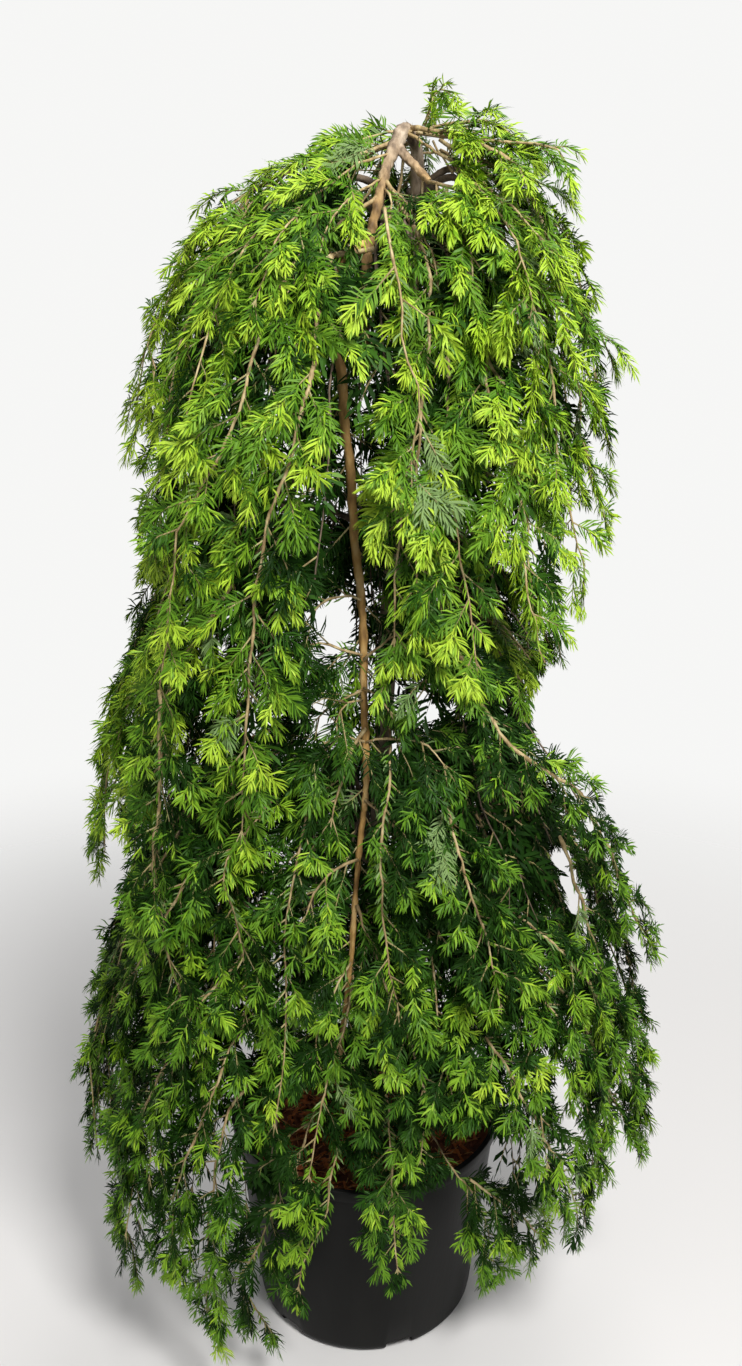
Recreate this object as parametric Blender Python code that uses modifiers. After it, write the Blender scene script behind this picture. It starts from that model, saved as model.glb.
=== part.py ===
"""A weeping hemlock in a round nursery pot.

The trunk rises from the root ball and arches over at the top into a hanging leader. Boughs leave the
trunk in three tiers, and masses of foliage hang from them round an open middle, down past the pot's rim.
Metres, +Z up. The origin is the middle of the pot's flat underside, and the plant's front faces -Y.
"""

import math
import random

import bmesh
import bpy
from mathutils import Matrix, Vector, noise

# Driving dimensions
# GAP is the clearance between touching pieces. A mass's corners move out by CORNER_GAP, so that its faces
# move by GAP at least.
GAP = 0.0003
CORNER_GAP = 0.00054
MERGE = 0.00005
SMOOTH_ANGLE = math.radians(50.0)

POT_HEIGHT = 0.225
POT_RIM_RADIUS = 0.147
POT_FOOT_RADIUS = 0.120
POT_FOOT_ROUND = 0.010
POT_WALL = 0.003
POT_LIP_HEIGHT = 0.012
POT_LIP_OUT = 0.003
POT_LIP_ROUND = 0.001
POT_CLEARANCE = 0.004
POT_STEPS = 28
NOTCH_COUNT = 6
NOTCH_WIDTH = 0.030
NOTCH_HEIGHT = 0.012
NOTCH_DEPTH = 0.016
NOTCH_PROUD = 0.004
NOTCH_TURN = 18.0

SOIL_BELOW_RIM = 0.030
SOIL_ROUGHNESS = 0.004
SOIL_BUMP_SIZE = 0.025
SOIL_FLAT_RADIUS = 0.028
SOIL_RING_RADII = (0.055, 0.085, 0.115)
SOIL_LEVEL = POT_HEIGHT - SOIL_BELOW_RIM

LIMB_SIDES_RESOLUTION = 2
LIMB_POINTS_PER_SPAN = 2
BOUGH_POINTS = 5
BOUGH_ROOT_RADIUS = 0.0048
BOUGH_TIP_RADIUS = 0.0026
BOUGH_RISE = 0.035
BOUGH_REACH = 0.16

MASS_SEGMENTS = 9
MASS_RINGS = 6
MASS_FULLNESS = 0.60
MASS_END_BLUNTNESS = 0.60
MASS_ROUGHNESS = 0.54
MASS_ROUGHNESS_SIZE = 0.050
MASS_SWING = 5.0

SEED = 7

# Trunk and leader: (x, y, z, radius) where each one turns
TRUNK = (
    (0.000, 0.004, SOIL_LEVEL + GAP, 0.0200),
    (0.000, 0.004, SOIL_LEVEL + 0.010, 0.0155),
    (0.000, 0.004, SOIL_LEVEL + 0.024, 0.0130),
    (0.001, 0.006, SOIL_LEVEL + 0.060, 0.0118),
    (0.005, 0.009, SOIL_LEVEL + 0.140, 0.0110),
    (0.014, 0.012, 0.500, 0.0102),
    (0.026, 0.014, 0.80, 0.0092),
    (0.044, 0.006, 1.10, 0.0080),
    (0.047, -0.008, 1.175, 0.0076),
    (0.036, -0.030, 1.204, 0.0072),
)
ARCH_STEM = (
    (0.036, -0.030, 1.204, 0.0070),
    (0.029, -0.042, 1.187, 0.0085),
    (0.018, -0.060, 1.150, 0.0078),
    (0.010, -0.072, 1.111, 0.0070),
    (-0.001, -0.085, 1.063, 0.0048),
    (0.003, -0.090, 1.000, 0.0036),
)
ARCH_STUB = (
    (0.029, -0.042, 1.187, 0.0062),
    (0.041, -0.055, 1.172, 0.0050),
    (0.055, -0.070, 1.156, 0.0044),
)
LEADER_UPPER = (
    (0.010, -0.072, 1.111, 0.0056),
    (-0.010, -0.088, 1.100, 0.0054),
    (-0.026, -0.096, 1.060, 0.0052),
    (-0.019, -0.100, 1.011, 0.0050),
)
LEADER_LOWER = (
    (-0.019, -0.100, 1.011, 0.0050),
    (-0.011, -0.110, 0.925, 0.0046),
    (-0.002, -0.120, 0.815, 0.0042),
    (0.000, -0.130, 0.728, 0.0038),
    (0.002, -0.135, 0.655, 0.0034),
    (-0.006, -0.140, 0.570, 0.0030),
    (-0.013, -0.150, 0.474, 0.0026),
    (-0.023, -0.155, 0.382, 0.0022),
)

# Foliage masses by tier. A tier's shoulder is a share of the foot radius, and a share of the fall from
# head to foot. Each row: name, bearing in degrees from the front towards +X, then head radius and
# height, foot radius and height, width and thickness
UPPER_SHOULDER = (0.84, 0.12)
UPPER_MASSES = (
    ("upper_left", -82, 0.015, 1.176, 0.190, 0.925, 0.165, 0.080),
    ("upper_left_front", -50, 0.025, 1.168, 0.210, 0.800, 0.155, 0.080),
    ("upper_front_left", -22, 0.100, 1.120, 0.222, 0.640, 0.125, 0.065),
    ("upper_front", 2, 0.105, 1.085, 0.165, 0.940, 0.095, 0.050),
    ("upper_front_right", 23, 0.082, 1.165, 0.185, 0.770, 0.130, 0.070),
    ("upper_right_front", 52, 0.080, 1.178, 0.208, 0.750, 0.150, 0.080),
    ("upper_right", 84, 0.068, 1.182, 0.216, 0.870, 0.160, 0.085),
    ("upper_right_back", 118, 0.060, 1.176, 0.215, 0.790, 0.165, 0.085),
    ("upper_back_right", 152, 0.045, 1.178, 0.210, 0.820, 0.160, 0.080),
    ("upper_back_left", -172, 0.030, 1.172, 0.215, 0.760, 0.160, 0.080),
    ("upper_left_back", -127, 0.020, 1.174, 0.208, 0.840, 0.180, 0.085),
)
MIDDLE_SHOULDER = (0.74, 0.34)
MIDDLE_MASSES = (
    ("middle_left", -80, 0.100, 0.960, 0.260, 0.520, 0.170, 0.085),
    ("middle_left_front", -50, 0.110, 0.930, 0.250, 0.500, 0.150, 0.085),
    ("middle_front_right", 24, 0.115, 0.800, 0.220, 0.460, 0.130, 0.075),
    ("middle_right_front", 52, 0.090, 0.815, 0.245, 0.480, 0.140, 0.080),
    ("middle_right", 82, 0.070, 0.800, 0.294, 0.465, 0.150, 0.080),
    ("middle_right_back", 118, 0.090, 0.870, 0.262, 0.480, 0.170, 0.085),
    ("middle_back_right", 155, 0.100, 0.920, 0.250, 0.440, 0.165, 0.085),
    ("middle_back_left", -165, 0.100, 0.890, 0.255, 0.470, 0.165, 0.085),
    ("middle_left_back", -122, 0.100, 0.930, 0.260, 0.430, 0.175, 0.085),
)
LOWER_SHOULDER = (0.84, 0.26)
LOWER_MASSES = (
    ("lower_left", -84, 0.110, 0.640, 0.292, 0.120, 0.185, 0.095),
    ("lower_left_front", -54, 0.120, 0.630, 0.266, 0.120, 0.155, 0.095),
    ("lower_front_left", -33, 0.115, 0.680, 0.222, 0.110, 0.130, 0.080),
    ("lower_front", 3, 0.125, 0.640, 0.172, 0.145, 0.130, 0.065),
    ("lower_front_right", 28, 0.115, 0.620, 0.212, 0.195, 0.140, 0.080),
    ("lower_right_front", 55, 0.120, 0.630, 0.246, 0.140, 0.155, 0.090),
    ("lower_right", 82, 0.110, 0.620, 0.296, 0.190, 0.180, 0.090),
    ("lower_right_back", 116, 0.110, 0.640, 0.275, 0.140, 0.180, 0.095),
    ("lower_back_right", 150, 0.110, 0.630, 0.258, 0.160, 0.165, 0.090),
    ("lower_back_left", -172, 0.110, 0.620, 0.262, 0.120, 0.170, 0.090),
    ("lower_left_back", -130, 0.110, 0.640, 0.275, 0.170, 0.175, 0.095),
)
LOW_TIP_SHOULDER = (0.99, 0.40)
LOW_TIP_MASSES = (
    ("low_tip_left", -34, 0.172, 0.240, 0.188, 0.055, 0.070, 0.040),
    ("low_tip_right", 50, 0.212, 0.290, 0.182, 0.085, 0.070, 0.040),
)
TIERS = (
    (UPPER_SHOULDER, UPPER_MASSES),
    (MIDDLE_SHOULDER, MIDDLE_MASSES),
    (LOWER_SHOULDER, LOWER_MASSES),
    (LOW_TIP_SHOULDER, LOW_TIP_MASSES),
)
SPRIG = ("top_sprig", (0.050, -0.016, 1.190), (0.064, -0.012, 1.248), 0.036, 0.030)

# Boughs: name, height where it leaves the trunk, the mass it carries
BOUGHS = (
    ("bough_upper_left", 1.140, "upper_left"),
    ("bough_upper_left_front", 1.120, "upper_left_front"),
    ("bough_upper_right_front", 1.135, "upper_right_front"),
    ("bough_upper_right", 1.150, "upper_right"),
    ("bough_upper_back_right", 1.130, "upper_back_right"),
    ("bough_upper_left_back", 1.110, "upper_left_back"),
    ("bough_middle_left", 0.860, "middle_left"),
    ("bough_middle_right_front", 0.780, "middle_right_front"),
    ("bough_middle_right", 0.740, "middle_right"),
    ("bough_middle_back_right", 0.820, "middle_back_right"),
    ("bough_middle_left_back", 0.840, "middle_left_back"),
    ("bough_lower_left", 0.500, "lower_left"),
    ("bough_lower_front_left", 0.520, "lower_front_left"),
    ("bough_lower_front_right", 0.440, "lower_front_right"),
    ("bough_lower_right", 0.480, "lower_right"),
    ("bough_lower_back_right", 0.510, "lower_back_right"),
    ("bough_lower_back_left", 0.490, "lower_back_left"),
)

POT_COLOUR = (0.022, 0.022, 0.024, 1.0)
SOIL_COLOUR = (0.110, 0.032, 0.014, 1.0)
BARK_COLOUR = (0.240, 0.150, 0.090, 1.0)
YOUNG_BARK_COLOUR = (0.420, 0.220, 0.100, 1.0)
LEAF_COLOURS = (
    (0.150, 0.330, 0.040, 1.0),
    (0.110, 0.270, 0.035, 1.0),
    (0.080, 0.210, 0.030, 1.0),
)


def clear_scene():
    for old in list(bpy.data.objects):
        bpy.data.objects.remove(old, do_unlink=True)


def make_collection(name):
    collection = bpy.data.collections.new(name)
    bpy.context.scene.collection.children.link(collection)
    return collection


def make_material(name, colour, roughness):
    material = bpy.data.materials.new(name)
    material.use_nodes = True
    shader = material.node_tree.nodes["Principled BSDF"]
    shader.inputs["Base Color"].default_value = colour
    shader.inputs["Roughness"].default_value = roughness
    shader.inputs["Metallic"].default_value = 0.0
    material.diffuse_color = colour
    return material


def mesh_object(name, mesh, collection, material=None):
    part = bpy.data.objects.new(name, mesh)
    collection.objects.link(part)
    if material is not None:
        mesh.materials.clear()
        mesh.materials.append(material)
    mesh.shade_smooth()
    mesh.set_sharp_from_angle(angle=SMOOTH_ANGLE)
    return part


def as_guide(part):
    """Marks an object as a cutter."""
    part.hide_render = True
    part.display_type = "WIRE"
    return part


def evaluated_mesh(part):
    """The object's mesh with its modifiers applied, its loose caps and seams welded."""
    bpy.context.view_layer.update()
    graph = bpy.context.evaluated_depsgraph_get()
    mesh = bpy.data.meshes.new_from_object(part.evaluated_get(graph), depsgraph=graph)
    form = bmesh.new()
    form.from_mesh(mesh)
    bmesh.ops.remove_doubles(form, verts=form.verts, dist=MERGE / 10.0)
    form.to_mesh(mesh)
    form.free()
    return mesh


def keep_largest_piece(mesh):
    """Deletes every loose piece of the mesh but the one that spans the most space."""
    form = bmesh.new()
    form.from_mesh(mesh)
    unseen = set(form.verts)
    pieces = []
    while unseen:
        piece = set()
        frontier = [unseen.pop()]
        while frontier:
            vert = frontier.pop()
            piece.add(vert)
            for edge in vert.link_edges:
                other = edge.other_vert(vert)
                if other in unseen:
                    unseen.remove(other)
                    frontier.append(other)
        pieces.append(piece)

    def span(piece):
        low = [min(v.co[i] for v in piece) for i in range(3)]
        high = [max(v.co[i] for v in piece) for i in range(3)]
        return math.prod(h - l for h, l in zip(high, low))

    largest = max(pieces, key=span)
    bmesh.ops.delete(form, geom=[v for v in form.verts if v not in largest], context="VERTS")
    form.to_mesh(mesh)
    form.free()


def boxes_meet(a, b):
    """Whether the bounding boxes of two unmoved objects overlap."""
    for axis in range(3):
        a_side = [corner[axis] for corner in a.bound_box]
        b_side = [corner[axis] for corner in b.bound_box]
        if max(a_side) < min(b_side) or max(b_side) < min(a_side):
            return False
    return True


def cut_round(part, cutters):
    """Cuts the part clear of every cutter that its box meets, and keeps its main piece."""
    bpy.context.view_layer.update()
    near = [cutter for cutter in cutters if boxes_meet(part, cutter)]
    if not near:
        return
    for cutter in near:
        cut = part.modifiers.new("clear of " + cutter.name, "BOOLEAN")
        cut.operation = "DIFFERENCE"
        cut.solver = "EXACT"
        cut.object = cutter
    mesh = evaluated_mesh(part)
    part.modifiers.clear()
    keep_largest_piece(mesh)
    part.data = mesh


# Pot and root ball


def turned(name, profile, collection, material, steps):
    """A closed body turned from a profile of (radius, height) that runs down its outer side."""
    mesh = bpy.data.meshes.new(name)
    points = [(radius, 0.0, height) for radius, height in profile]
    mesh.from_pydata(points, [(i, i + 1) for i in range(len(points) - 1)], [])
    part = mesh_object(name, mesh, collection, material)
    screw = part.modifiers.new("turn", "SCREW")
    screw.steps = steps
    screw.render_steps = steps
    screw.use_merge_vertices = True
    screw.merge_threshold = MERGE
    screw.use_smooth_shade = True
    part.data = evaluated_mesh(part)
    part.modifiers.clear()
    return part


def wall_radius(height):
    """The radius of the pot's outer wall at a height."""
    share = (height - POT_FOOT_ROUND) / (POT_HEIGHT - POT_FOOT_ROUND)
    return POT_FOOT_RADIUS + (POT_RIM_RADIUS - POT_LIP_OUT - POT_FOOT_RADIUS) * max(0.0, share)


def make_pot(collection, cutter_collection, material):
    lip_foot = POT_HEIGHT - POT_LIP_HEIGHT
    inner_foot = POT_FOOT_RADIUS - POT_WALL
    bevel = POT_FOOT_ROUND * (1.0 - math.sqrt(0.5))
    profile = (
        (0.0, POT_WALL),
        (inner_foot - POT_FOOT_ROUND + POT_WALL, POT_WALL),
        (inner_foot, POT_FOOT_ROUND),
        (wall_radius(lip_foot) - POT_WALL, lip_foot),
        (wall_radius(POT_HEIGHT) - POT_WALL, POT_HEIGHT - POT_LIP_ROUND),
        (wall_radius(POT_HEIGHT) - POT_WALL + POT_LIP_ROUND, POT_HEIGHT),
        (POT_RIM_RADIUS - POT_LIP_ROUND, POT_HEIGHT),
        (POT_RIM_RADIUS, POT_HEIGHT - POT_LIP_ROUND),
        (POT_RIM_RADIUS, lip_foot + POT_LIP_ROUND),
        (wall_radius(lip_foot), lip_foot - POT_LIP_ROUND),
        (POT_FOOT_RADIUS, POT_FOOT_ROUND),
        (POT_FOOT_RADIUS - bevel, bevel),
        (POT_FOOT_RADIUS - POT_FOOT_ROUND, 0.0),
        (0.0, 0.0),
    )
    pot = turned("pot", profile, collection, material, POT_STEPS)
    notches = []
    for number in range(NOTCH_COUNT):
        bearing = math.radians(NOTCH_TURN + number * 360.0 / NOTCH_COUNT)
        form = bmesh.new()
        bmesh.ops.create_cube(form, size=1.0)
        bmesh.ops.scale(form, vec=(NOTCH_WIDTH, NOTCH_DEPTH, 2.0 * NOTCH_HEIGHT), verts=form.verts)
        middle = POT_FOOT_RADIUS - NOTCH_DEPTH / 2.0 + NOTCH_PROUD
        bmesh.ops.translate(form, vec=(0.0, -middle, 0.0), verts=form.verts)
        turn = Matrix.Rotation(bearing, 3, "Z")
        bmesh.ops.rotate(form, cent=(0.0, 0.0, 0.0), matrix=turn, verts=form.verts)
        mesh = bpy.data.meshes.new("notch")
        form.to_mesh(mesh)
        form.free()
        notches.append(as_guide(mesh_object(f"notch_{number + 1}", mesh, cutter_collection)))
    cut_round(pot, notches)
    return pot


def make_root_ball(collection, material):
    inner_foot = POT_FOOT_RADIUS - POT_WALL
    bottom = POT_WALL + GAP
    edge = wall_radius(SOIL_LEVEL) - POT_WALL - 2.0 * GAP
    low_edge = POT_FOOT_ROUND + POT_WALL
    profile = [(0.0, SOIL_LEVEL), (SOIL_FLAT_RADIUS, SOIL_LEVEL)]
    profile += [(radius, SOIL_LEVEL) for radius in SOIL_RING_RADII]
    profile += [
        (edge, SOIL_LEVEL - SOIL_ROUGHNESS),
        (wall_radius(low_edge) - POT_WALL - 2.0 * GAP, low_edge),
        (inner_foot - POT_FOOT_ROUND, bottom),
        (0.0, bottom),
    ]
    ball = turned("root_ball", profile, collection, material, POT_STEPS)
    for vert in ball.data.vertices:
        radius = math.hypot(vert.co.x, vert.co.y)
        on_top = vert.co.z > SOIL_LEVEL - SOIL_ROUGHNESS / 2.0
        if on_top and radius > SOIL_FLAT_RADIUS + GAP:
            bump = noise.noise(vert.co / SOIL_BUMP_SIZE)
            vert.co.z += SOIL_ROUGHNESS * bump
    return ball


# Limbs


def smooth_route(knots):
    """Points along a smooth curve through (x, y, z, radius) knots."""
    route = []
    last = len(knots) - 1
    for i in range(last):
        before = knots[max(i - 1, 0)]
        start = knots[i]
        end = knots[i + 1]
        after = knots[min(i + 2, last)]
        for step in range(LIMB_POINTS_PER_SPAN):
            t = step / LIMB_POINTS_PER_SPAN
            route.append(
                tuple(
                    0.5
                    * (
                        2.0 * s
                        + (e - b) * t
                        + (2.0 * b - 5.0 * s + 4.0 * e - a) * t * t
                        + (3.0 * s - b - 3.0 * e + a) * t * t * t
                    )
                    for b, s, e, a in zip(before, start, end, after)
                )
            )
    route.append(tuple(knots[last]))
    return route


def limb(name, route, collection, material=None, grow=0.0):
    """A tapering round limb along (x, y, z, radius) points, made wider and longer by grow."""
    places = [Vector(point[:3]) for point in route]
    if grow:
        places[0] = places[0] + (places[0] - places[1]).normalized() * grow
        places[-1] = places[-1] + (places[-1] - places[-2]).normalized() * grow
    curve = bpy.data.curves.new(name, "CURVE")
    curve.dimensions = "3D"
    curve.bevel_depth = 1.0
    curve.bevel_resolution = LIMB_SIDES_RESOLUTION
    curve.use_fill_caps = True
    spline = curve.splines.new("POLY")
    spline.points.add(len(places) - 1)
    for point, place, source in zip(spline.points, places, route):
        point.co = (*place, 1.0)
        point.radius = source[3] + grow
    guide = bpy.data.objects.new(name + "_route", curve)
    collection.objects.link(guide)
    mesh = evaluated_mesh(guide)
    bpy.data.objects.remove(guide, do_unlink=True)
    mesh.name = name
    return mesh_object(name, mesh, collection, material)


def at_height(route, height):
    """The point of a rising limb's centre at a height."""
    for low, high in zip(route, route[1:]):
        if low[2] <= height <= high[2]:
            share = (height - low[2]) / (high[2] - low[2])
            return Vector(low[:3]).lerp(Vector(high[:3]), share)
    return Vector(route[-1][:3])


def bough_route(start, end):
    """A route that leaves the trunk rising, then levels out to its mass."""
    lift = Vector((0.0, 0.0, BOUGH_RISE))
    bend = start.lerp(end, 0.5) + lift
    route = []
    for i in range(BOUGH_POINTS):
        t = i / (BOUGH_POINTS - 1)
        place = start * (1 - t) ** 2 + bend * 2 * t * (1 - t) + end * t * t
        radius = BOUGH_ROOT_RADIUS + (BOUGH_TIP_RADIUS - BOUGH_ROOT_RADIUS) * t
        route.append((*place, radius))
    return route


# Foliage masses


def polar(bearing, radius, height):
    """A point at a bearing in degrees from the front, a radius from the pot's axis and a height."""
    angle = math.radians(bearing)
    return Vector((radius * math.sin(angle), -radius * math.cos(angle), height))


class Mass:
    """One hanging mass: a drooping centre line with a width and a thickness."""

    def __init__(self, row, shoulder, rng):
        self.name, bearing, head_r, head_z, foot_r, foot_z, self.width, self.thickness = row
        shoulder_share, drop_share = shoulder
        swing = rng.uniform(-MASS_SWING, MASS_SWING)
        self.head = polar(bearing, head_r, head_z)
        self.foot = polar(bearing + swing, foot_r, foot_z)
        shoulder_z = head_z - drop_share * (head_z - foot_z)
        self.shoulder = polar(bearing + swing / 2.0, foot_r * shoulder_share, shoulder_z)
        self.across = polar(bearing + 90.0, 1.0, 0.0)
        self.offset = Vector([rng.uniform(-50.0, 50.0) for _ in range(3)])

    def centre(self, t):
        return self.head * (1 - t) ** 2 + self.shoulder * 2 * t * (1 - t) + self.foot * t * t

    def along(self, t):
        return ((self.shoulder - self.head) * (1 - t) + (self.foot - self.shoulder) * t).normalized()


class UprightMass(Mass):
    """A small mass that stands up from its limb."""

    def __init__(self, row, rng):
        self.name, head, foot, self.width, self.thickness = row
        self.head = Vector(head)
        self.foot = Vector(foot)
        self.shoulder = self.head.lerp(self.foot, 0.5)
        self.across = Vector((1.0, 0.0, 0.0))
        self.offset = Vector([rng.uniform(-50.0, 50.0) for _ in range(3)])


def mass_object(mass, collection, material=None, grow=0.0):
    """The closed uneven solid of a mass, made larger all round by grow."""
    form = bmesh.new()
    bmesh.ops.create_uvsphere(form, u_segments=MASS_SEGMENTS, v_segments=MASS_RINGS, radius=1.0)
    for vert in form.verts:
        x, y, z = vert.co
        t = math.acos(max(-1.0, min(1.0, z))) / math.pi
        t += MASS_END_BLUNTNESS * ((1.0 - z) / 2.0 - t)
        ring = math.hypot(x, y)
        full = ring**MASS_FULLNESS / ring if ring > 1e-6 else 0.0
        centre = mass.centre(t)
        depth = mass.across.cross(mass.along(t)).normalized()
        side = mass.across * (x * full * mass.width / 2.0)
        face = depth * (y * full * mass.thickness / 2.0)
        uneven = noise.noise((centre + side + face + mass.offset) / MASS_ROUGHNESS_SIZE)
        vert.co = centre + (side + face) * (1.0 + MASS_ROUGHNESS * uneven)
    bmesh.ops.triangulate(form, faces=form.faces)
    if grow:
        form.normal_update()
        moved = [(vert, vert.co + vert.normal * grow) for vert in form.verts]
        for vert, place in moved:
            vert.co = place
    mesh = bpy.data.meshes.new(mass.name)
    form.to_mesh(mesh)
    form.free()
    return mesh_object(mass.name if not grow else mass.name + "_room", mesh, collection, material)


def pot_room(collection):
    """A round block that holds the pot with room to spare, for cutting masses clear of it."""
    mesh = bpy.data.meshes.new("pot_room")
    form = bmesh.new()
    bmesh.ops.create_cone(
        form,
        cap_ends=True,
        segments=POT_STEPS,
        radius1=POT_RIM_RADIUS + POT_CLEARANCE,
        radius2=POT_RIM_RADIUS + POT_CLEARANCE,
        depth=2.0 * (POT_HEIGHT + POT_CLEARANCE),
    )
    form.to_mesh(mesh)
    form.free()
    return as_guide(mesh_object("pot_room", mesh, collection))


def main():
    clear_scene()
    plant = make_collection("weeping_hemlock")
    cutters = make_collection("cutters")
    rng = random.Random(SEED)

    pot_material = make_material("pot_plastic", POT_COLOUR, 0.55)
    soil_material = make_material("root_ball_fibre", SOIL_COLOUR, 0.95)
    bark = make_material("bark", BARK_COLOUR, 0.85)
    young_bark = make_material("young_bark", YOUNG_BARK_COLOUR, 0.75)
    leaves = [make_material(f"foliage_{i + 1}", c, 0.7) for i, c in enumerate(LEAF_COLOURS)]

    make_pot(plant, cutters, pot_material)
    make_root_ball(plant, soil_material)

    trunk_route = smooth_route(TRUNK)
    stems = (
        ("trunk", trunk_route, bark),
        ("arch_stem", smooth_route(ARCH_STEM), bark),
        ("arch_stub", smooth_route(ARCH_STUB), bark),
        ("leader_upper", smooth_route(LEADER_UPPER), young_bark),
        ("leader_lower", smooth_route(LEADER_LOWER), young_bark),
    )
    rooms = []
    for name, route, material in stems:
        stem = limb(name, route, plant, material)
        cut_round(stem, rooms)
        rooms.append(as_guide(limb(name + "_room", route, cutters, grow=GAP)))
    rooms.append(pot_room(cutters))

    masses = {row[0]: Mass(row, shoulder, rng) for shoulder, rows in TIERS for row in rows}
    masses[SPRIG[0]] = UprightMass(SPRIG, rng)
    for number, mass in enumerate(masses.values()):
        solid = mass_object(mass, plant, leaves[number % len(leaves)])
        cut_round(solid, rooms)
        rooms.append(as_guide(mass_object(mass, cutters, grow=CORNER_GAP)))

    for name, height, carried in BOUGHS:
        start = at_height(trunk_route, height)
        end = masses[carried].centre(BOUGH_REACH)
        route = bough_route(start, end)
        bough = limb(name, route, plant, bark)
        cut_round(bough, rooms)
        rooms.append(as_guide(limb(name + "_room", route, cutters, grow=GAP)))


main()
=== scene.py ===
# %% [markdown]
# # A weeping hemlock in a nursery pot
# A weeping hemlock has no shape of its own until somebody ties its leader to a cane. Above the cane
# everything hangs: the leader turns over at the top and falls back down the front, and each bough
# falls outside the one below it like a tiled roof. This lesson builds such a plant from the inside
# out: pot and root ball, barked stems, hanging strands, side twigs on the strands, and needles last.
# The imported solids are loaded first, and every piece is placed round them.

# %% Load the fixed frame
import math

import bpy
import numpy as np
from mathutils import Matrix, Vector
from mathutils.bvhtree import BVHTree
from mathutils.kdtree import KDTree


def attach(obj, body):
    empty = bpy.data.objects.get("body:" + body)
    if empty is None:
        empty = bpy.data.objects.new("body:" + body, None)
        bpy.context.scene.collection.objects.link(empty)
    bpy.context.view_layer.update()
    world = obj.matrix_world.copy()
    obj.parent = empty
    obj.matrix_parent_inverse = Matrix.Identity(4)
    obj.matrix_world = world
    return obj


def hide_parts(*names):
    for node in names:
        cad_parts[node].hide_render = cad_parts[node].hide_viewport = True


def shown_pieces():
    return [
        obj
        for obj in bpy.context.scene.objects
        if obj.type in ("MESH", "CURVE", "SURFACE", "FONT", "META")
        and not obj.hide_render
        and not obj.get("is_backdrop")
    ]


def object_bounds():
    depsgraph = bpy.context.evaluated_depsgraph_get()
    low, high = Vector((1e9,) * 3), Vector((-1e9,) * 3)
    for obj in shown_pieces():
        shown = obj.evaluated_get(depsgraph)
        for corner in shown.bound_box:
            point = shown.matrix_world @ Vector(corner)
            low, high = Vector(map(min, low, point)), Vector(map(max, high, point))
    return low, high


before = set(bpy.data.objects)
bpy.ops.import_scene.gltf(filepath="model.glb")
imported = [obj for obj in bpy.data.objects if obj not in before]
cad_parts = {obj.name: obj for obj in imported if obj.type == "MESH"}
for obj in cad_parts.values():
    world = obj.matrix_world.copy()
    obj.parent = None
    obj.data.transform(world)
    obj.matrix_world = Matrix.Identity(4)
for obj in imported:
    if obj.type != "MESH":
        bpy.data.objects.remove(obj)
cad_low, cad_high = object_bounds()
BODY = "root"
MASS_PREFIXES = ("upper_", "middle_", "lower_", "low_tip_", "top_sprig")
mass_nodes = sorted(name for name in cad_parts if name.startswith(MASS_PREFIXES))
print("frame:", len(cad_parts), "nodes,", len(mass_nodes), "of them masses of foliage")

# %% [markdown]
# The camera comes first, because every later choice of detail depends on how large a needle looks
# from where it stands: a little over a metre away, as high as the crown. It looks down at 16
# degrees, so the tall plant narrows towards its pot.

# %% Camera
CAMERA_PLACE = (0.0064, -1.095, 1.022)
CAMERA_DOWN = math.radians(16.1)
CAMERA_LENS = 30.31
SENSOR_HEIGHT = 36.0
NEAREST_SEEN = 0.02

camera_data = bpy.data.cameras.new("camera")
camera_data.sensor_fit = "VERTICAL"
camera_data.sensor_height = SENSOR_HEIGHT
camera_data.lens = CAMERA_LENS
camera_data.clip_start = NEAREST_SEEN
camera = bpy.data.objects.new("camera", camera_data)
bpy.context.scene.collection.objects.link(camera)
camera.location = CAMERA_PLACE
camera.rotation_euler = (math.pi / 2.0 - CAMERA_DOWN, 0.0, 0.0)
bpy.context.scene.camera = camera
print("camera at", CAMERA_PLACE)

# %% [markdown]
# A nursery stands its plants on a pale floor under big soft lamps. A disc does for the floor, and it
# fades out before its edge, so that no horizon cuts across behind the plant. The sky is brighter to
# look at than it is as a light: the big lamp above the front then shapes the sprays, and the inside
# of the crown stays as dark as it is on a real plant.

# %% Floor
FLOOR_RADIUS = 2.0
FLOOR_SIDES = 96
FLOOR_COLOUR = (0.78, 0.76, 0.74, 1.0)
FLOOR_ROUGHNESS = 0.75
FLOOR_FADE = (0.55, 1.9)


def clear_selection():
    """Leaves edit mode and deselects everything, so that the next operator acts on its own piece only."""
    if bpy.context.object and bpy.context.object.mode != "OBJECT":
        bpy.ops.object.mode_set(mode="OBJECT")
    bpy.ops.object.select_all(action="DESELECT")


def plain_material(name, colour, roughness):
    """A new material and its Principled shader, with one colour and roughness."""
    material = bpy.data.materials.new(name)
    material.use_nodes = True
    shader = material.node_tree.nodes["Principled BSDF"]
    shader.inputs["Base Color"].default_value = colour
    shader.inputs["Roughness"].default_value = roughness
    return material, shader


clear_selection()
bpy.ops.mesh.primitive_circle_add(vertices=FLOOR_SIDES, radius=FLOOR_RADIUS, fill_type="NGON")
floor = bpy.context.object
floor.name = "floor"
paper, shader = plain_material("pale_floor", FLOOR_COLOUR, FLOOR_ROUGHNESS)
tree = paper.node_tree
where = tree.nodes.new("ShaderNodeTexCoord")
from_middle = tree.nodes.new("ShaderNodeVectorMath")
from_middle.operation = "LENGTH"
fade = tree.nodes.new("ShaderNodeMapRange")
fade.interpolation_type = "SMOOTHSTEP"
fade.inputs["From Min"].default_value, fade.inputs["From Max"].default_value = FLOOR_FADE
clear = tree.nodes.new("ShaderNodeBsdfTransparent")
blend = tree.nodes.new("ShaderNodeMixShader")
tree.links.new(where.outputs["Object"], from_middle.inputs[0])
tree.links.new(from_middle.outputs["Value"], fade.inputs["Value"])
tree.links.new(fade.outputs["Result"], blend.inputs["Fac"])
tree.links.new(shader.outputs["BSDF"], blend.inputs[1])
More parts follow.
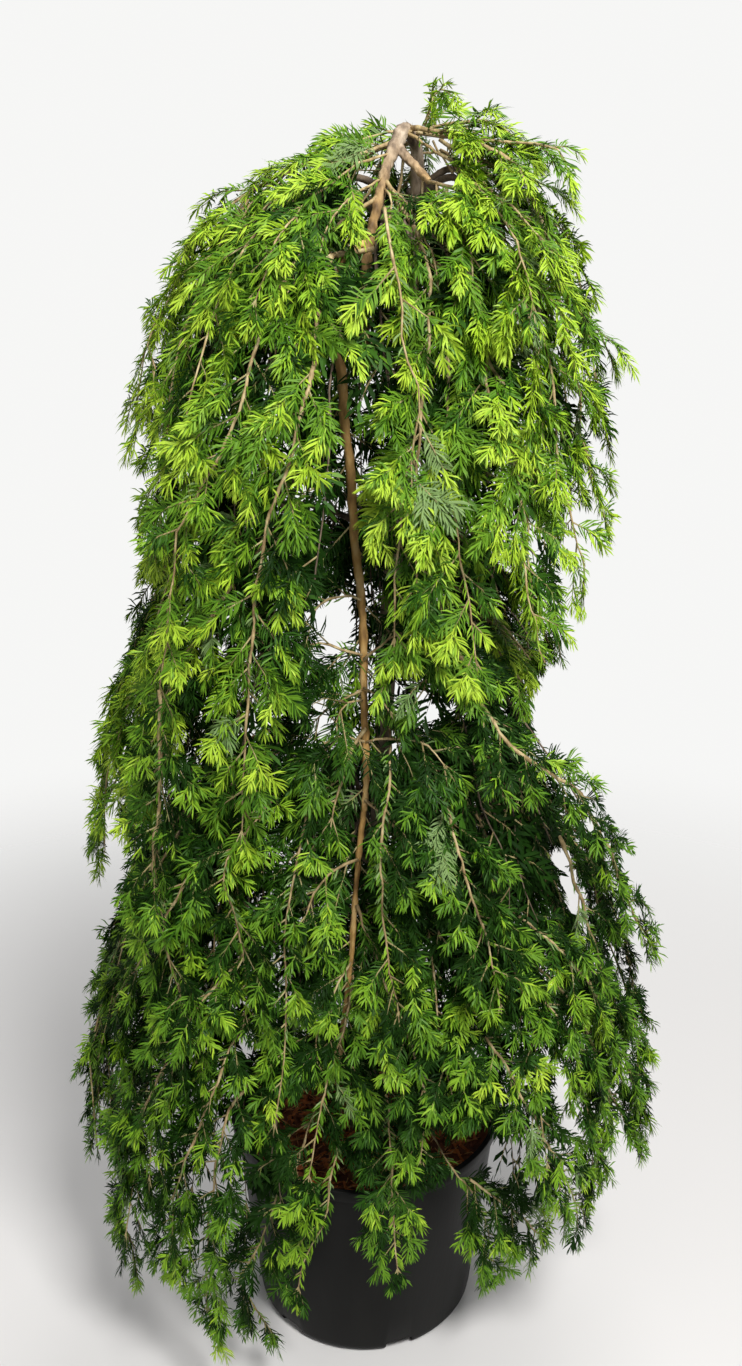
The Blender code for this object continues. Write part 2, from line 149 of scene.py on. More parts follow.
tree.links.new(clear.outputs["BSDF"], blend.inputs[2])
tree.links.new(blend.outputs["Shader"], tree.nodes["Material Output"].inputs["Surface"])
floor.data.materials.append(paper)
floor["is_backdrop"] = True
print("floor:", 2.0 * FLOOR_RADIUS, "m across")

# %% Sky and lamps
BACKDROP_COLOUR = (0.925, 0.925, 0.915, 1.0)
SKY_COLOUR = (0.95, 0.97, 1.0, 1.0)
SKY_STRENGTH = 0.27
LAMPS = (
    # name, place, what it looks at, side of its square, watts
    ("key", (0.68, -1.55, 2.45), (0.0, 0.0, 1.00), 0.7, 74.0),
    ("fill", (-1.90, -1.60, 1.70), (0.0, 0.0, 0.80), 1.4, 8.0),
    ("rim", (0.40, 1.90, 2.40), (0.0, 0.0, 0.80), 1.2, 28.0),
)

world = bpy.data.worlds.new("sky")
world.use_nodes = True
tree = world.node_tree
as_light = tree.nodes["Background"]
as_light.inputs["Color"].default_value = SKY_COLOUR
as_light.inputs["Strength"].default_value = SKY_STRENGTH
as_backdrop = tree.nodes.new("ShaderNodeBackground")
as_backdrop.inputs["Color"].default_value = BACKDROP_COLOUR
path = tree.nodes.new("ShaderNodeLightPath")
either = tree.nodes.new("ShaderNodeMixShader")
tree.links.new(path.outputs["Is Camera Ray"], either.inputs["Fac"])
tree.links.new(as_light.outputs["Background"], either.inputs[1])
tree.links.new(as_backdrop.outputs["Background"], either.inputs[2])
tree.links.new(either.outputs["Shader"], tree.nodes["World Output"].inputs["Surface"])
bpy.context.scene.world = world
for name, place, target, side, watts in LAMPS:
    lamp_data = bpy.data.lights.new(name, "AREA")
    lamp_data.size = side
    lamp_data.energy = watts
    lamp = bpy.data.objects.new(name, lamp_data)
    bpy.context.scene.collection.objects.link(lamp)
    lamp.location = place
    lamp.rotation_euler = (Vector(target) - Vector(place)).to_track_quat("-Z", "Y").to_euler()
bpy.context.scene.view_settings.view_transform = "Standard"
print("sky and", len(LAMPS), "lamps")

# %% [markdown]
# Every finish here is a Principled shader whose colour wanders between two or three neighbours.
# Noise on Object coordinates does that without any unwrapping, and the same helper serves plastic,
# mulch, bark and needles. Stretching the coordinates along one axis turns spots into streaks.

# %% A helper for mottled finishes
RAMP_ENDS = (0.30, 0.70)
GRAIN_FINER = 6.0
GRAIN_DETAIL = 6.0
GRAIN_DEPTH = 0.001


def new_noise(tree, scale, detail):
    """A noise node of a given scale and number of octaves."""
    cloud = tree.nodes.new("ShaderNodeTexNoise")
    cloud.inputs["Scale"].default_value = scale
    cloud.inputs["Detail"].default_value = detail
    return cloud


def mottled(name, colours, scale, roughness, bump=0.0, stretch=(1.0, 1.0, 1.0), detail=4.0,
            bump_scale=None, shine=None):
    """A procedural finish: noise picks its colour from a ramp and its roughness, and finer noise dents it."""
    low, high = RAMP_ENDS
    material, shader = plain_material(name, (*colours[0], 1.0), roughness[0])
    tree = material.node_tree
    place = tree.nodes.new("ShaderNodeTexCoord")
    mapping = tree.nodes.new("ShaderNodeMapping")
    mapping.inputs["Scale"].default_value = stretch
    cloud = new_noise(tree, scale, detail)
    ramp = tree.nodes.new("ShaderNodeValToRGB")
    stops = ramp.color_ramp.elements
    while len(stops) < len(colours):
        stops.new(0.5)
    for number, colour in enumerate(colours):
        stops[number].position = low + (high - low) * number / (len(colours) - 1)
        stops[number].color = (*colour, 1.0)
    rough = tree.nodes.new("ShaderNodeMapRange")
    rough.inputs["From Min"].default_value, rough.inputs["From Max"].default_value = RAMP_ENDS
    rough.inputs["To Min"].default_value, rough.inputs["To Max"].default_value = roughness
    link = tree.links.new
    link(place.outputs["Object"], mapping.inputs["Vector"])
    link(mapping.outputs["Vector"], cloud.inputs["Vector"])
    link(cloud.outputs["Fac"], ramp.inputs["Fac"])
    link(ramp.outputs["Color"], shader.inputs["Base Color"])
    link(cloud.outputs["Fac"], rough.inputs["Value"])
    link(rough.outputs["Result"], shader.inputs["Roughness"])
    if bump:
        grain = new_noise(tree, bump_scale or scale * GRAIN_FINER, GRAIN_DETAIL)
        dent = tree.nodes.new("ShaderNodeBump")
        dent.inputs["Strength"].default_value = bump
        dent.inputs["Distance"].default_value = GRAIN_DEPTH
        link(mapping.outputs["Vector"], grain.inputs["Vector"])
        link(grain.outputs["Fac"], dent.inputs["Height"])
        link(dent.outputs["Normal"], shader.inputs["Normal"])
    if shine is not None:
        shader.inputs["Specular IOR Level"].default_value = shine
    return material


def finish_piece(piece, material, replaced=()):
    """Gives a finished piece its material, what it rides on and the solids it stands for."""
    piece.data.materials.clear()
    piece.data.materials.append(material)
    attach(piece, BODY)
    if replaced:
        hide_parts(*replaced)
    return piece


print("helper ready: mottled finishes")

# %% [markdown]
# The pot is a blow-moulded nursery pot: a thin tapering wall, a turned-out lip to lift it by, a
# rounded foot and six low notches in the foot that let water out. A disc of the foot's size is
# extruded upwards ring by ring, the rim is an inset, and the inside is extruded back down. That is
# the order in which a potter would pull it up, and it leaves one closed wall.

# %% Pot: pull up the wall
POT_SIDES = 120
POT_HEIGHT = 0.225
POT_FOOT_RADIUS = 0.120
POT_FOOT_ROUND = 0.010
POT_RIM_RADIUS = 0.147
POT_LIP_OUT = 0.003
POT_LIP_HEIGHT = 0.012
POT_WALL = 0.003


def wall_radius(height):
    """How wide the outside of the wall is at a height above the rounded foot."""
    share = (height - POT_FOOT_ROUND) / (POT_HEIGHT - POT_FOOT_ROUND)
    return POT_FOOT_RADIUS + (POT_RIM_RADIUS - POT_LIP_OUT - POT_FOOT_RADIUS) * share


def pull(rings, radius, height):
    """Extrudes the selected cap, which has this radius and height, through (radius, height) rings."""
    for next_radius, next_height in rings:
        rise = (0.0, 0.0, next_height - height)
        bpy.ops.mesh.extrude_region_move(TRANSFORM_OT_translate={"value": rise})
        grow = next_radius / radius
        bpy.ops.transform.resize(value=(grow, grow, 1.0), center_override=(0.0, 0.0, next_height))
        radius, height = next_radius, next_height


def foot_round(turn):
    """(radius, height) on the rounded foot, turn degrees up from the underside."""
    angle = math.radians(turn)
    middle = POT_FOOT_RADIUS - POT_FOOT_ROUND
    return (middle + POT_FOOT_ROUND * math.sin(angle), POT_FOOT_ROUND * (1.0 - math.cos(angle)))


LIP_FOOT = POT_HEIGHT - POT_LIP_HEIGHT
OUTER_RINGS = [foot_round(turn) for turn in (22.5, 45.0, 67.5, 90.0)]
OUTER_RINGS += [(wall_radius(h), h) for h in (0.05, 0.09, 0.13, 0.17, LIP_FOOT - 0.004, LIP_FOOT)]
OUTER_RINGS += [(POT_RIM_RADIUS - 0.0006, LIP_FOOT + 0.0004), (POT_RIM_RADIUS, POT_HEIGHT - 0.001)]
OUTER_RINGS += [(POT_RIM_RADIUS - 0.001, POT_HEIGHT)]
INNER_RINGS = [(wall_radius(h) - POT_WALL, h) for h in (POT_HEIGHT - 0.002, LIP_FOOT, 0.12, 0.02)]
INNER_RINGS += [(POT_FOOT_RADIUS - POT_WALL - 0.004, POT_WALL + 0.002)]

FLAT_FOOT = POT_FOOT_RADIUS - POT_FOOT_ROUND

clear_selection()
bpy.ops.mesh.primitive_circle_add(vertices=POT_SIDES, radius=FLAT_FOOT, fill_type="NGON")
pot = bpy.context.object
pot.name = "nursery_pot"
bpy.ops.object.mode_set(mode="EDIT")
pull(OUTER_RINGS, FLAT_FOOT, 0.0)
rim_inner = wall_radius(POT_HEIGHT) - POT_WALL + 0.001
bpy.ops.mesh.inset(thickness=POT_RIM_RADIUS - 0.001 - rim_inner)
pull(INNER_RINGS, rim_inner, POT_HEIGHT)
bpy.ops.mesh.select_all(action="SELECT")
bpy.ops.mesh.normals_make_consistent(inside=False)
bpy.ops.object.mode_set(mode="OBJECT")
print("pot wall:", len(pot.data.polygons), "faces")

# %% [markdown]
# Each drain notch is cut by a block with its upper corners rounded, because a mould can't leave a
# sharp inner corner. One block is shaped, then copied round the foot, and a Boolean cuts them all.

# %% Pot: cut the drain notches
NOTCHES = 6
NOTCH_WIDTH = 0.030
NOTCH_HEIGHT = 0.012
NOTCH_DEPTH = 0.016
NOTCH_TURN = math.radians(18.0)
NOTCH_ROUND = 0.004
NOTCH_PROUD = 0.004
POT_BEVEL = 0.0008
POT_SHARP = math.radians(38.0)
POT_SMOOTH = math.radians(32.0)


def cut_away(piece, cutter):
    """Cuts one mesh out of another and removes the cutter."""
    cut = piece.modifiers.new("cut", "BOOLEAN")
    cut.operation = "DIFFERENCE"
    cut.solver = "EXACT"
    cut.object = cutter
    bpy.context.view_layer.objects.active = piece
    bpy.ops.object.modifier_apply(modifier=cut.name)
    bpy.data.objects.remove(cutter, do_unlink=True)


notch_place = POT_FOOT_RADIUS - NOTCH_DEPTH / 2.0 + NOTCH_PROUD
for number in range(NOTCHES):
    clear_selection()
    bpy.ops.mesh.primitive_cube_add(size=1.0, location=(0.0, 0.0, 0.0))
    block = bpy.context.object
    bpy.ops.object.mode_set(mode="EDIT")
    bpy.ops.transform.resize(value=(NOTCH_WIDTH, NOTCH_DEPTH, 2.0 * NOTCH_HEIGHT))
    bpy.ops.mesh.select_all(action="DESELECT")
    bpy.ops.object.mode_set(mode="OBJECT")
    for edge in block.data.edges:
        ends = [block.data.vertices[v].co for v in edge.vertices]
        edge.select = all(end.z > 0.0 for end in ends) and abs(ends[0].x - ends[1].x) < 0.001
    bpy.context.tool_settings.mesh_select_mode = (False, True, False)
    bpy.ops.object.mode_set(mode="EDIT")
    bpy.ops.mesh.bevel(offset=NOTCH_ROUND, segments=4)
    bpy.ops.mesh.select_all(action="SELECT")
    bpy.ops.transform.translate(value=(0.0, -notch_place, 0.0))
    bpy.ops.object.mode_set(mode="OBJECT")
    turn = Matrix.Rotation(NOTCH_TURN + number * 2.0 * math.pi / NOTCHES, 4, "Z")
    block.data.transform(turn)
    cut_away(pot, block)

edges = pot.modifiers.new("soft edges", "BEVEL")
edges.width = POT_BEVEL
edges.segments = 2
edges.limit_method = "ANGLE"
edges.angle_limit = POT_SHARP
clear_selection()
bpy.context.view_layer.objects.active = pot
pot.select_set(True)
bpy.ops.object.modifier_apply(modifier=edges.name)
bpy.ops.object.shade_smooth_by_angle(angle=POT_SMOOTH)
print("pot with", NOTCHES, "notches:", len(pot.data.polygons), "faces")

# %% [markdown]
# Blow-moulded plastic is nearly black and matt. Its colour has faint lighter upright streaks, partly
# painted sheen and partly a dusty bloom. The streaks are noise squeezed sideways; a grain gives the fine
# tooth.

# %% Pot: matt black plastic
# the lighter upright streaks in this colour are partly painted sheen, partly dust
plastic = mottled(
    "matt_black_plastic",
    ((0.0040, 0.0040, 0.0036), (0.0068, 0.0068, 0.0060), (0.0110, 0.0108, 0.0096)),
    scale=9.0, roughness=(0.38, 0.55), bump=0.12, stretch=(3.0, 3.0, 0.25), bump_scale=160.0,
    shine=0.11,
)
finish_piece(pot, plastic, ["pot"])
print("pot finished")

# %% [markdown]
# The root ball fills the pot to just under its rim. Growers top it with composted bark against
# weeds: a brown crust of flat chips and fibres. The crust is a disc inset into rings and dented by a
# Displace modifier; the chips come from one small wedge, copied by arrays in three browns.

# %% Root ball: the crust
SOIL_LEVEL = 0.195
BALL_RADIUS = wall_radius(SOIL_LEVEL) - POT_WALL - 0.0006
BALL_FOOT = 0.02
BALL_SIDES = 72
BALL_DENT = 0.006
CRUST_RINGS = 22
STILL_EDGE = 0.004

clear_selection()
bpy.ops.mesh.primitive_cylinder_add(
    vertices=BALL_SIDES, radius=BALL_RADIUS, depth=SOIL_LEVEL - BALL_FOOT,
    location=(0.0, 0.0, (SOIL_LEVEL + BALL_FOOT) / 2.0),
)
ball = bpy.context.object
ball.name = "root_ball_crust"
bpy.ops.object.transform_apply(location=True, rotation=False, scale=False)
foot_share = (POT_FOOT_RADIUS - POT_WALL - 0.002) / BALL_RADIUS
for vert in ball.data.vertices:
    if vert.co.z < SOIL_LEVEL / 2.0:
        vert.co.x *= foot_share
        vert.co.y *= foot_share
bpy.context.tool_settings.mesh_select_mode = (False, False, True)
bpy.ops.object.mode_set(mode="EDIT")
bpy.ops.mesh.select_all(action="DESELECT")
bpy.ops.object.mode_set(mode="OBJECT")
for face in ball.data.polygons:
    face.select = face.normal.z > 0.9
bpy.ops.object.mode_set(mode="EDIT")
for _ in range(CRUST_RINGS):
    bpy.ops.mesh.inset(thickness=BALL_RADIUS / (CRUST_RINGS + 2))
bpy.ops.mesh.poke()
bpy.ops.object.mode_set(mode="OBJECT")
crust_noise = bpy.data.textures.new("crust", "CLOUDS")
crust_noise.noise_scale = 0.014
crust_noise.noise_depth = 4
top_only = ball.vertex_groups.new(name="top")
level_top = [vert for vert in ball.data.vertices if vert.co.z > SOIL_LEVEL - 0.001]
moving = [vert.index for vert in level_top if vert.co.xy.length < BALL_RADIUS - STILL_EDGE]
top_only.add(moving, 1.0, "REPLACE")
dents = ball.modifiers.new("dents", "DISPLACE")
dents.texture = crust_noise
dents.texture_coords = "LOCAL"
dents.direction = "Z"
dents.strength = BALL_DENT
dents.mid_level = 0.9
dents.vertex_group = top_only.name
bpy.ops.object.modifier_apply(modifier=dents.name)
bpy.ops.object.shade_smooth_by_angle(angle=math.radians(60.0))
compost = mottled(
    "composted_bark",
    ((0.070, 0.024, 0.010), (0.180, 0.053, 0.020), (0.330, 0.100, 0.034)),
    scale=70.0, roughness=(0.85, 1.0), bump=0.6,
)
finish_piece(ball, compost, ["root_ball"])
print("crust:", len(ball.data.polygons), "faces")

# %% [markdown]
# Hundreds of chips, thousands of twigs and hundreds of thousands of needles can't be made one
# operator call at a time. Each kind is described by arrays, one row for each copy, and one helper
# turns arrays of corners and triangles into a mesh. The parts are joined from the start.

# %% A helper that makes a joined mesh from arrays
def joined_mesh(name, corners, triangles, smooth=False):
    """One object from an array of corners and an array of triangles."""
    mesh = bpy.data.meshes.new(name)
    mesh.vertices.add(len(corners))
    mesh.vertices.foreach_set("co", np.ascontiguousarray(corners, np.float32).ravel())
    mesh.loops.add(3 * len(triangles))
    mesh.loops.foreach_set("vertex_index", np.ascontiguousarray(triangles, np.int32).ravel())
    mesh.polygons.add(len(triangles))
    mesh.polygons.foreach_set("loop_start", np.arange(0, 3 * len(triangles), 3, dtype=np.int32))
    mesh.polygons.foreach_set("use_smooth", np.full(len(triangles), smooth))
    mesh.update(calc_edges=True)
    mesh.validate()
    piece = bpy.data.objects.new(name, mesh)
    bpy.context.scene.collection.objects.link(piece)
    return piece


def unit(vectors):
    """Rows scaled to length one."""
    return vectors / np.maximum(np.linalg.norm(vectors, axis=-1, keepdims=True), 1e-9)


def copies(one_corners, one_triangles, placed):
    """Triangles for many copies of one shape, whose corners are already placed as (copies, corners, 3)."""
    steps = np.arange(len(placed))[:, None, None] * len(one_corners)
    return placed.reshape(-1, 3), (steps + one_triangles[None]).reshape(-1, 3)


SEED = 20
dice = np.random.default_rng(SEED)
print("helper ready: joined meshes, and dice with seed", SEED)

# %% [markdown]
# The chips are bark that went through a shredder: flat pieces with eight uneven corners, no two at
# the same tilt. Fresh ones are red-brown, older ones are dark, and long thin ones do for the fibres.
# One wedge is enough for all three, because each copy has its own length, width and turn.

# %% Root ball: chips and fibres
CHIP = np.array([
    (-0.5, -0.30, 0.0), (0.5, -0.5, 0.1), (0.42, 0.45, 0.0), (-0.46, 0.38, 0.15),
    (-0.36, -0.2, 1.0), (0.38, -0.34, 0.85), (0.30, 0.34, 1.0), (-0.4, 0.26, 0.8),
])
CHIP_FACES = np.array([
    (0, 3, 2), (0, 2, 1), (4, 5, 6), (4, 6, 7), (0, 1, 5), (0, 5, 4),
    (1, 2, 6), (1, 6, 5), (2, 3, 7), (2, 7, 6), (3, 0, 4), (3, 4, 7),
])
CHIP_KINDS = (
    # name, count, length, width, thickness, tilt, colours
    ("bark_chips_red", 620, (0.007, 0.020), (0.003, 0.008), 0.0022, 0.45,
     ((0.560, 0.150, 0.042), (0.820, 0.280, 0.085))),
    ("bark_chips_dark", 420, (0.006, 0.017), (0.003, 0.007), 0.0022, 0.45,
     ((0.200, 0.056, 0.020), (0.340, 0.105, 0.042))),
    ("bark_fibres", 520, (0.012, 0.034), (0.0007, 0.0016), 0.0009, 0.30,
     ((0.780, 0.360, 0.130), (0.930, 0.560, 0.250))),
)
TRUNK_FOOT_ROOM = 0.019
CHIP_SINK = 0.0045
CHIP_PILE = 0.004


def strewn(count, length, width, thickness, tilt):
    """Places for copies of the chip, scattered over the crust."""
    reach = np.sqrt(dice.uniform(0.0, 1.0, count)) * (BALL_RADIUS - length[1] * 0.5)
    reach = np.maximum(reach, TRUNK_FOOT_ROOM)
    turn = dice.uniform(0.0, 2.0 * np.pi, count)
    sizes = [dice.uniform(*length, count), dice.uniform(*width, count), np.full(count, thickness)]
    heading = dice.uniform(0.0, 2.0 * np.pi, count)
    ahead = unit(np.stack([np.cos(heading), np.sin(heading), dice.normal(0.0, tilt * 0.5, count)], 1))
    up = unit(np.stack([dice.normal(0, tilt, count), dice.normal(0, tilt, count), np.ones(count)], 1))
    side = unit(np.cross(up, ahead))
    up = np.cross(ahead, side)
    lift = SOIL_LEVEL - CHIP_SINK + dice.uniform(0.0, CHIP_PILE, count)
    middle = np.stack([reach * np.cos(turn), reach * np.sin(turn), lift], 1)
    local = CHIP[None] * np.stack(sizes, 1)[:, None]
    return middle[:, None] + np.einsum("nkc,ncd->nkd", local, np.stack([ahead, side, up], 1))


for name, count, length, width, thickness, tilt, colours in CHIP_KINDS:
    corners, faces = copies(CHIP, CHIP_FACES, strewn(count, length, width, thickness, tilt))
    chips = joined_mesh(name, corners, faces)
    finish = mottled(name + "_finish", colours, scale=120.0, roughness=(0.8, 0.95), bump=0.3)
    finish_piece(chips, finish)
    print(name, len(faces), "triangles")

# %% [markdown]
# The trunk is hidden by its own foliage for most of its height, but it is one stem all the way: it
# flares where it leaves the root ball, leans a little, turns over beside the cane and comes forward
# as the thick knuckled arch that shows at the top. Where it forks, a cut stub points right and the
# leader falls down the front. A curve with a radius at each point gives the taper; a Subdivision
# Surface adds skin to work on, and two Displace modifiers raise plates and fine cracks.

# %% Trunk, arch and leader: routes
OLD_STEM = (
    # x, y, z, radius where the stem turns
    (0.000, 0.004, SOIL_LEVEL - 0.004, 0.0200),
    (0.000, 0.004, SOIL_LEVEL + 0.010, 0.0155),
    (0.000, 0.004, SOIL_LEVEL + 0.024, 0.0130),
    (0.001, 0.006, SOIL_LEVEL + 0.060, 0.0118),
    (0.005, 0.009, SOIL_LEVEL + 0.140, 0.0110),
    (0.010, 0.010, 0.420, 0.0106),
    (0.014, 0.012, 0.500, 0.0102),
    (0.019, 0.015, 0.650, 0.0098),
    (0.026, 0.014, 0.80, 0.0092),
    (0.036, 0.011, 0.96, 0.0084),
    (0.044, 0.006, 1.10, 0.0070),
    (0.047, -0.008, 1.175, 0.0062),
    (0.043, -0.020, 1.198, 0.0058),
    (0.035, -0.031, 1.201, 0.0060),
    (0.027, -0.042, 1.188, 0.0066),
    (0.021, -0.050, 1.173, 0.0050),
    (0.016, -0.060, 1.156, 0.0043),
    (0.012, -0.068, 1.138, 0.0042),
    (0.008, -0.072, 1.122, 0.0044),
    (0.004, -0.078, 1.106, 0.0052),
    (0.002, -0.084, 1.083, 0.0042),
    (-0.001, -0.087, 1.060, 0.0038),
    (0.001, -0.088, 1.030, 0.0036),
    (0.003, -0.090, 1.000, 0.0032),
)
STUB = (
    (0.029, -0.042, 1.187, 0.0050),
    (0.035, -0.048, 1.179, 0.0040),
    (0.041, -0.055, 1.172, 0.0035),
    (0.048, -0.062, 1.164, 0.0032),
    (0.055, -0.070, 1.156, 0.0031),
)
LEADER = (
    (0.005, -0.077, 1.108, 0.0038),
    (-0.002, -0.081, 1.106, 0.0031),
    (-0.010, -0.088, 1.100, 0.0030),
    (-0.021, -0.093, 1.082, 0.0034),
    (-0.026, -0.096, 1.060, 0.0041),
    (-0.024, -0.098, 1.035, 0.0043),
    (-0.019, -0.100, 1.011, 0.0043),
    (-0.016, -0.106, 0.968, 0.0042),
    (-0.011, -0.110, 0.925, 0.0041),
    (-0.008, -0.114, 0.870, 0.0039),
    (-0.002, -0.120, 0.815, 0.0038),
    (0.000, -0.124, 0.772, 0.0037),
    (0.000, -0.130, 0.728, 0.0035),
    (0.002, -0.135, 0.655, 0.0032),
    (-0.002, -0.137, 0.610, 0.0030),
    (-0.006, -0.140, 0.570, 0.0028),
    (-0.013, -0.150, 0.474, 0.0025),
    (-0.018, -0.153, 0.430, 0.0023),
    (-0.023, -0.155, 0.382, 0.0020),
)
print("routes:", len(OLD_STEM), "points up and over,", len(LEADER), "down the leader")

# %% [markdown]
# Every woody limb is made the same way, so one helper makes them all. It bevels a Bezier curve, which
# gives a round tube that tapers, turns it into a mesh and closes it, adds a level of subdivision, and
# then raises the bark: broad plates from clouds, narrow cracks from a stucco pattern.

# %% A helper that grows a barked limb along a route
WELD = 0.00002
BARK_SMOOTH = math.radians(70.0)


def barked_limb(name, knots, plates, cracks, resolution=5):
    """A limb along (x, y, z, radius) knots: a bevelled curve, subdivided, with bark raised on it."""
    clear_selection()
    bpy.ops.curve.primitive_bezier_curve_add(location=(0.0, 0.0, 0.0))
    limb = bpy.context.object
    limb.name = name
    curve = limb.data
    curve.splines.clear()
    curve.dimensions = "3D"
    curve.bevel_depth = 1.0
    curve.bevel_resolution = 4
    curve.resolution_u = resolution
    curve.use_fill_caps = True
    spline = curve.splines.new("BEZIER")
    spline.bezier_points.add(len(knots) - 1)
    for point, knot in zip(spline.bezier_points, knots):
        point.co = knot[:3]
        point.radius = knot[3]
        point.handle_left_type = point.handle_right_type = "AUTO"
    bpy.ops.object.convert(target="MESH")
    bpy.ops.object.mode_set(mode="EDIT")
    bpy.ops.mesh.select_all(action="SELECT")
    bpy.ops.mesh.remove_doubles(threshold=WELD)
    bpy.ops.mesh.normals_make_consistent(inside=False)
    bpy.ops.object.mode_set(mode="OBJECT")
    skin = limb.modifiers.new("skin", "SUBSURF")
    skin.levels = skin.render_levels = 1
    bpy.ops.object.modifier_apply(modifier=skin.name)
    for label, kind, (size, height) in (("plates", "CLOUDS", plates), ("cracks", "STUCCI", cracks)):
        pattern = bpy.data.textures.new(name + "_" + label, kind)
        pattern.noise_scale = size
        raised = limb.modifiers.new(label, "DISPLACE")
        raised.texture = pattern
        raised.texture_coords = "LOCAL"
        raised.strength = height
        raised.mid_level = 0.5
        bpy.ops.object.modifier_apply(modifier=raised.name)
    bpy.ops.object.shade_smooth_by_angle(angle=BARK_SMOOTH)
    return limb


print("helper ready: barked limbs")

# %% [markdown]
# Old wood is grey-brown and scaly, young wood is a smooth golden orange, and wood deep in the crown
# is given a darker bark as painted shade. The arch goes from the first to the second along its own
# length, so its colour is multiplied by gold towards the front. The plates and cracks go in as
# (size, height) pairs.

# %% Trunk, arch and leader: bark
GOLD_BEGINS, GOLD_ENDS = -0.044, -0.074
OLD_TO_GOLD = (1.0, 0.80, 0.42)

old_bark = mottled(
    "old_bark",
    ((0.140, 0.098, 0.066), (0.350, 0.262, 0.180), (0.560, 0.450, 0.330)),
    scale=150.0, roughness=(0.72, 0.92), bump=0.7, stretch=(1.0, 1.0, 0.45), bump_scale=420.0,
)
young_bark = mottled(
    "young_bark",
    ((0.215, 0.108, 0.028), (0.520, 0.300, 0.088), (0.740, 0.520, 0.220)),
    scale=110.0, roughness=(0.62, 0.85), bump=0.5, stretch=(1.0, 1.0, 0.35), bump_scale=500.0,
)
# painted shade: a darker bark for the boughs and inner strands, which stand in the crown's shade
inner_bark = mottled(
    "inner_bark",
    ((0.070, 0.047, 0.030), (0.160, 0.114, 0.074), (0.270, 0.205, 0.140)),
    scale=150.0, roughness=(0.75, 0.95), bump=0.6, stretch=(1.0, 1.0, 0.45), bump_scale=420.0,
)
tree = old_bark.node_tree
base_colour = tree.nodes["Principled BSDF"].inputs["Base Color"]
place = tree.nodes.new("ShaderNodeTexCoord")
parts = tree.nodes.new("ShaderNodeSeparateXYZ")
forwards = tree.nodes.new("ShaderNodeMapRange")
forwards.inputs["From Min"].default_value = GOLD_BEGINS
forwards.inputs["From Max"].default_value = GOLD_ENDS
golden = tree.nodes.new("ShaderNodeMix")
golden.data_type = "RGBA"
golden.blend_type = "MULTIPLY"
golden.inputs["B"].default_value = (*OLD_TO_GOLD, 1.0)
tree.links.new(place.outputs["Object"], parts.inputs["Vector"])
tree.links.new(parts.outputs["Y"], forwards.inputs["Value"])
tree.links.new(forwards.outputs["Result"], golden.inputs["Factor"])
tree.links.new(base_colour.links[0].from_socket, golden.inputs["A"])
tree.links.new(golden.outputs["Result"], base_colour)
trunk = barked_limb("trunk_and_arch", OLD_STEM, (0.012, 0.0032), (0.0034, 0.0020))
finish_piece(trunk, old_bark, ["trunk", "arch_stem"])
stub = barked_limb("arch_stub_bark", STUB, (0.010, 0.0020), (0.003, 0.0016))
finish_piece(stub, old_bark, ["arch_stub"])
leader = barked_limb("hanging_leader", LEADER, (0.010, 0.0026), (0.003, 0.0014))
finish_piece(leader, young_bark, ["leader_upper", "leader_lower"])
print("bark:", sum(len(limb.data.polygons) for limb in (trunk, stub, leader)), "faces")

# %% [markdown]
# The crown hangs in three tiers. Each mass of foliage in the frame is a curtain of strands that
# share a bough: it starts at a head near the trunk, goes out over a shoulder and falls to a foot.
# The rows below are the same sizes that the masses were made from, so strands laid along them fill
# the masses exactly.

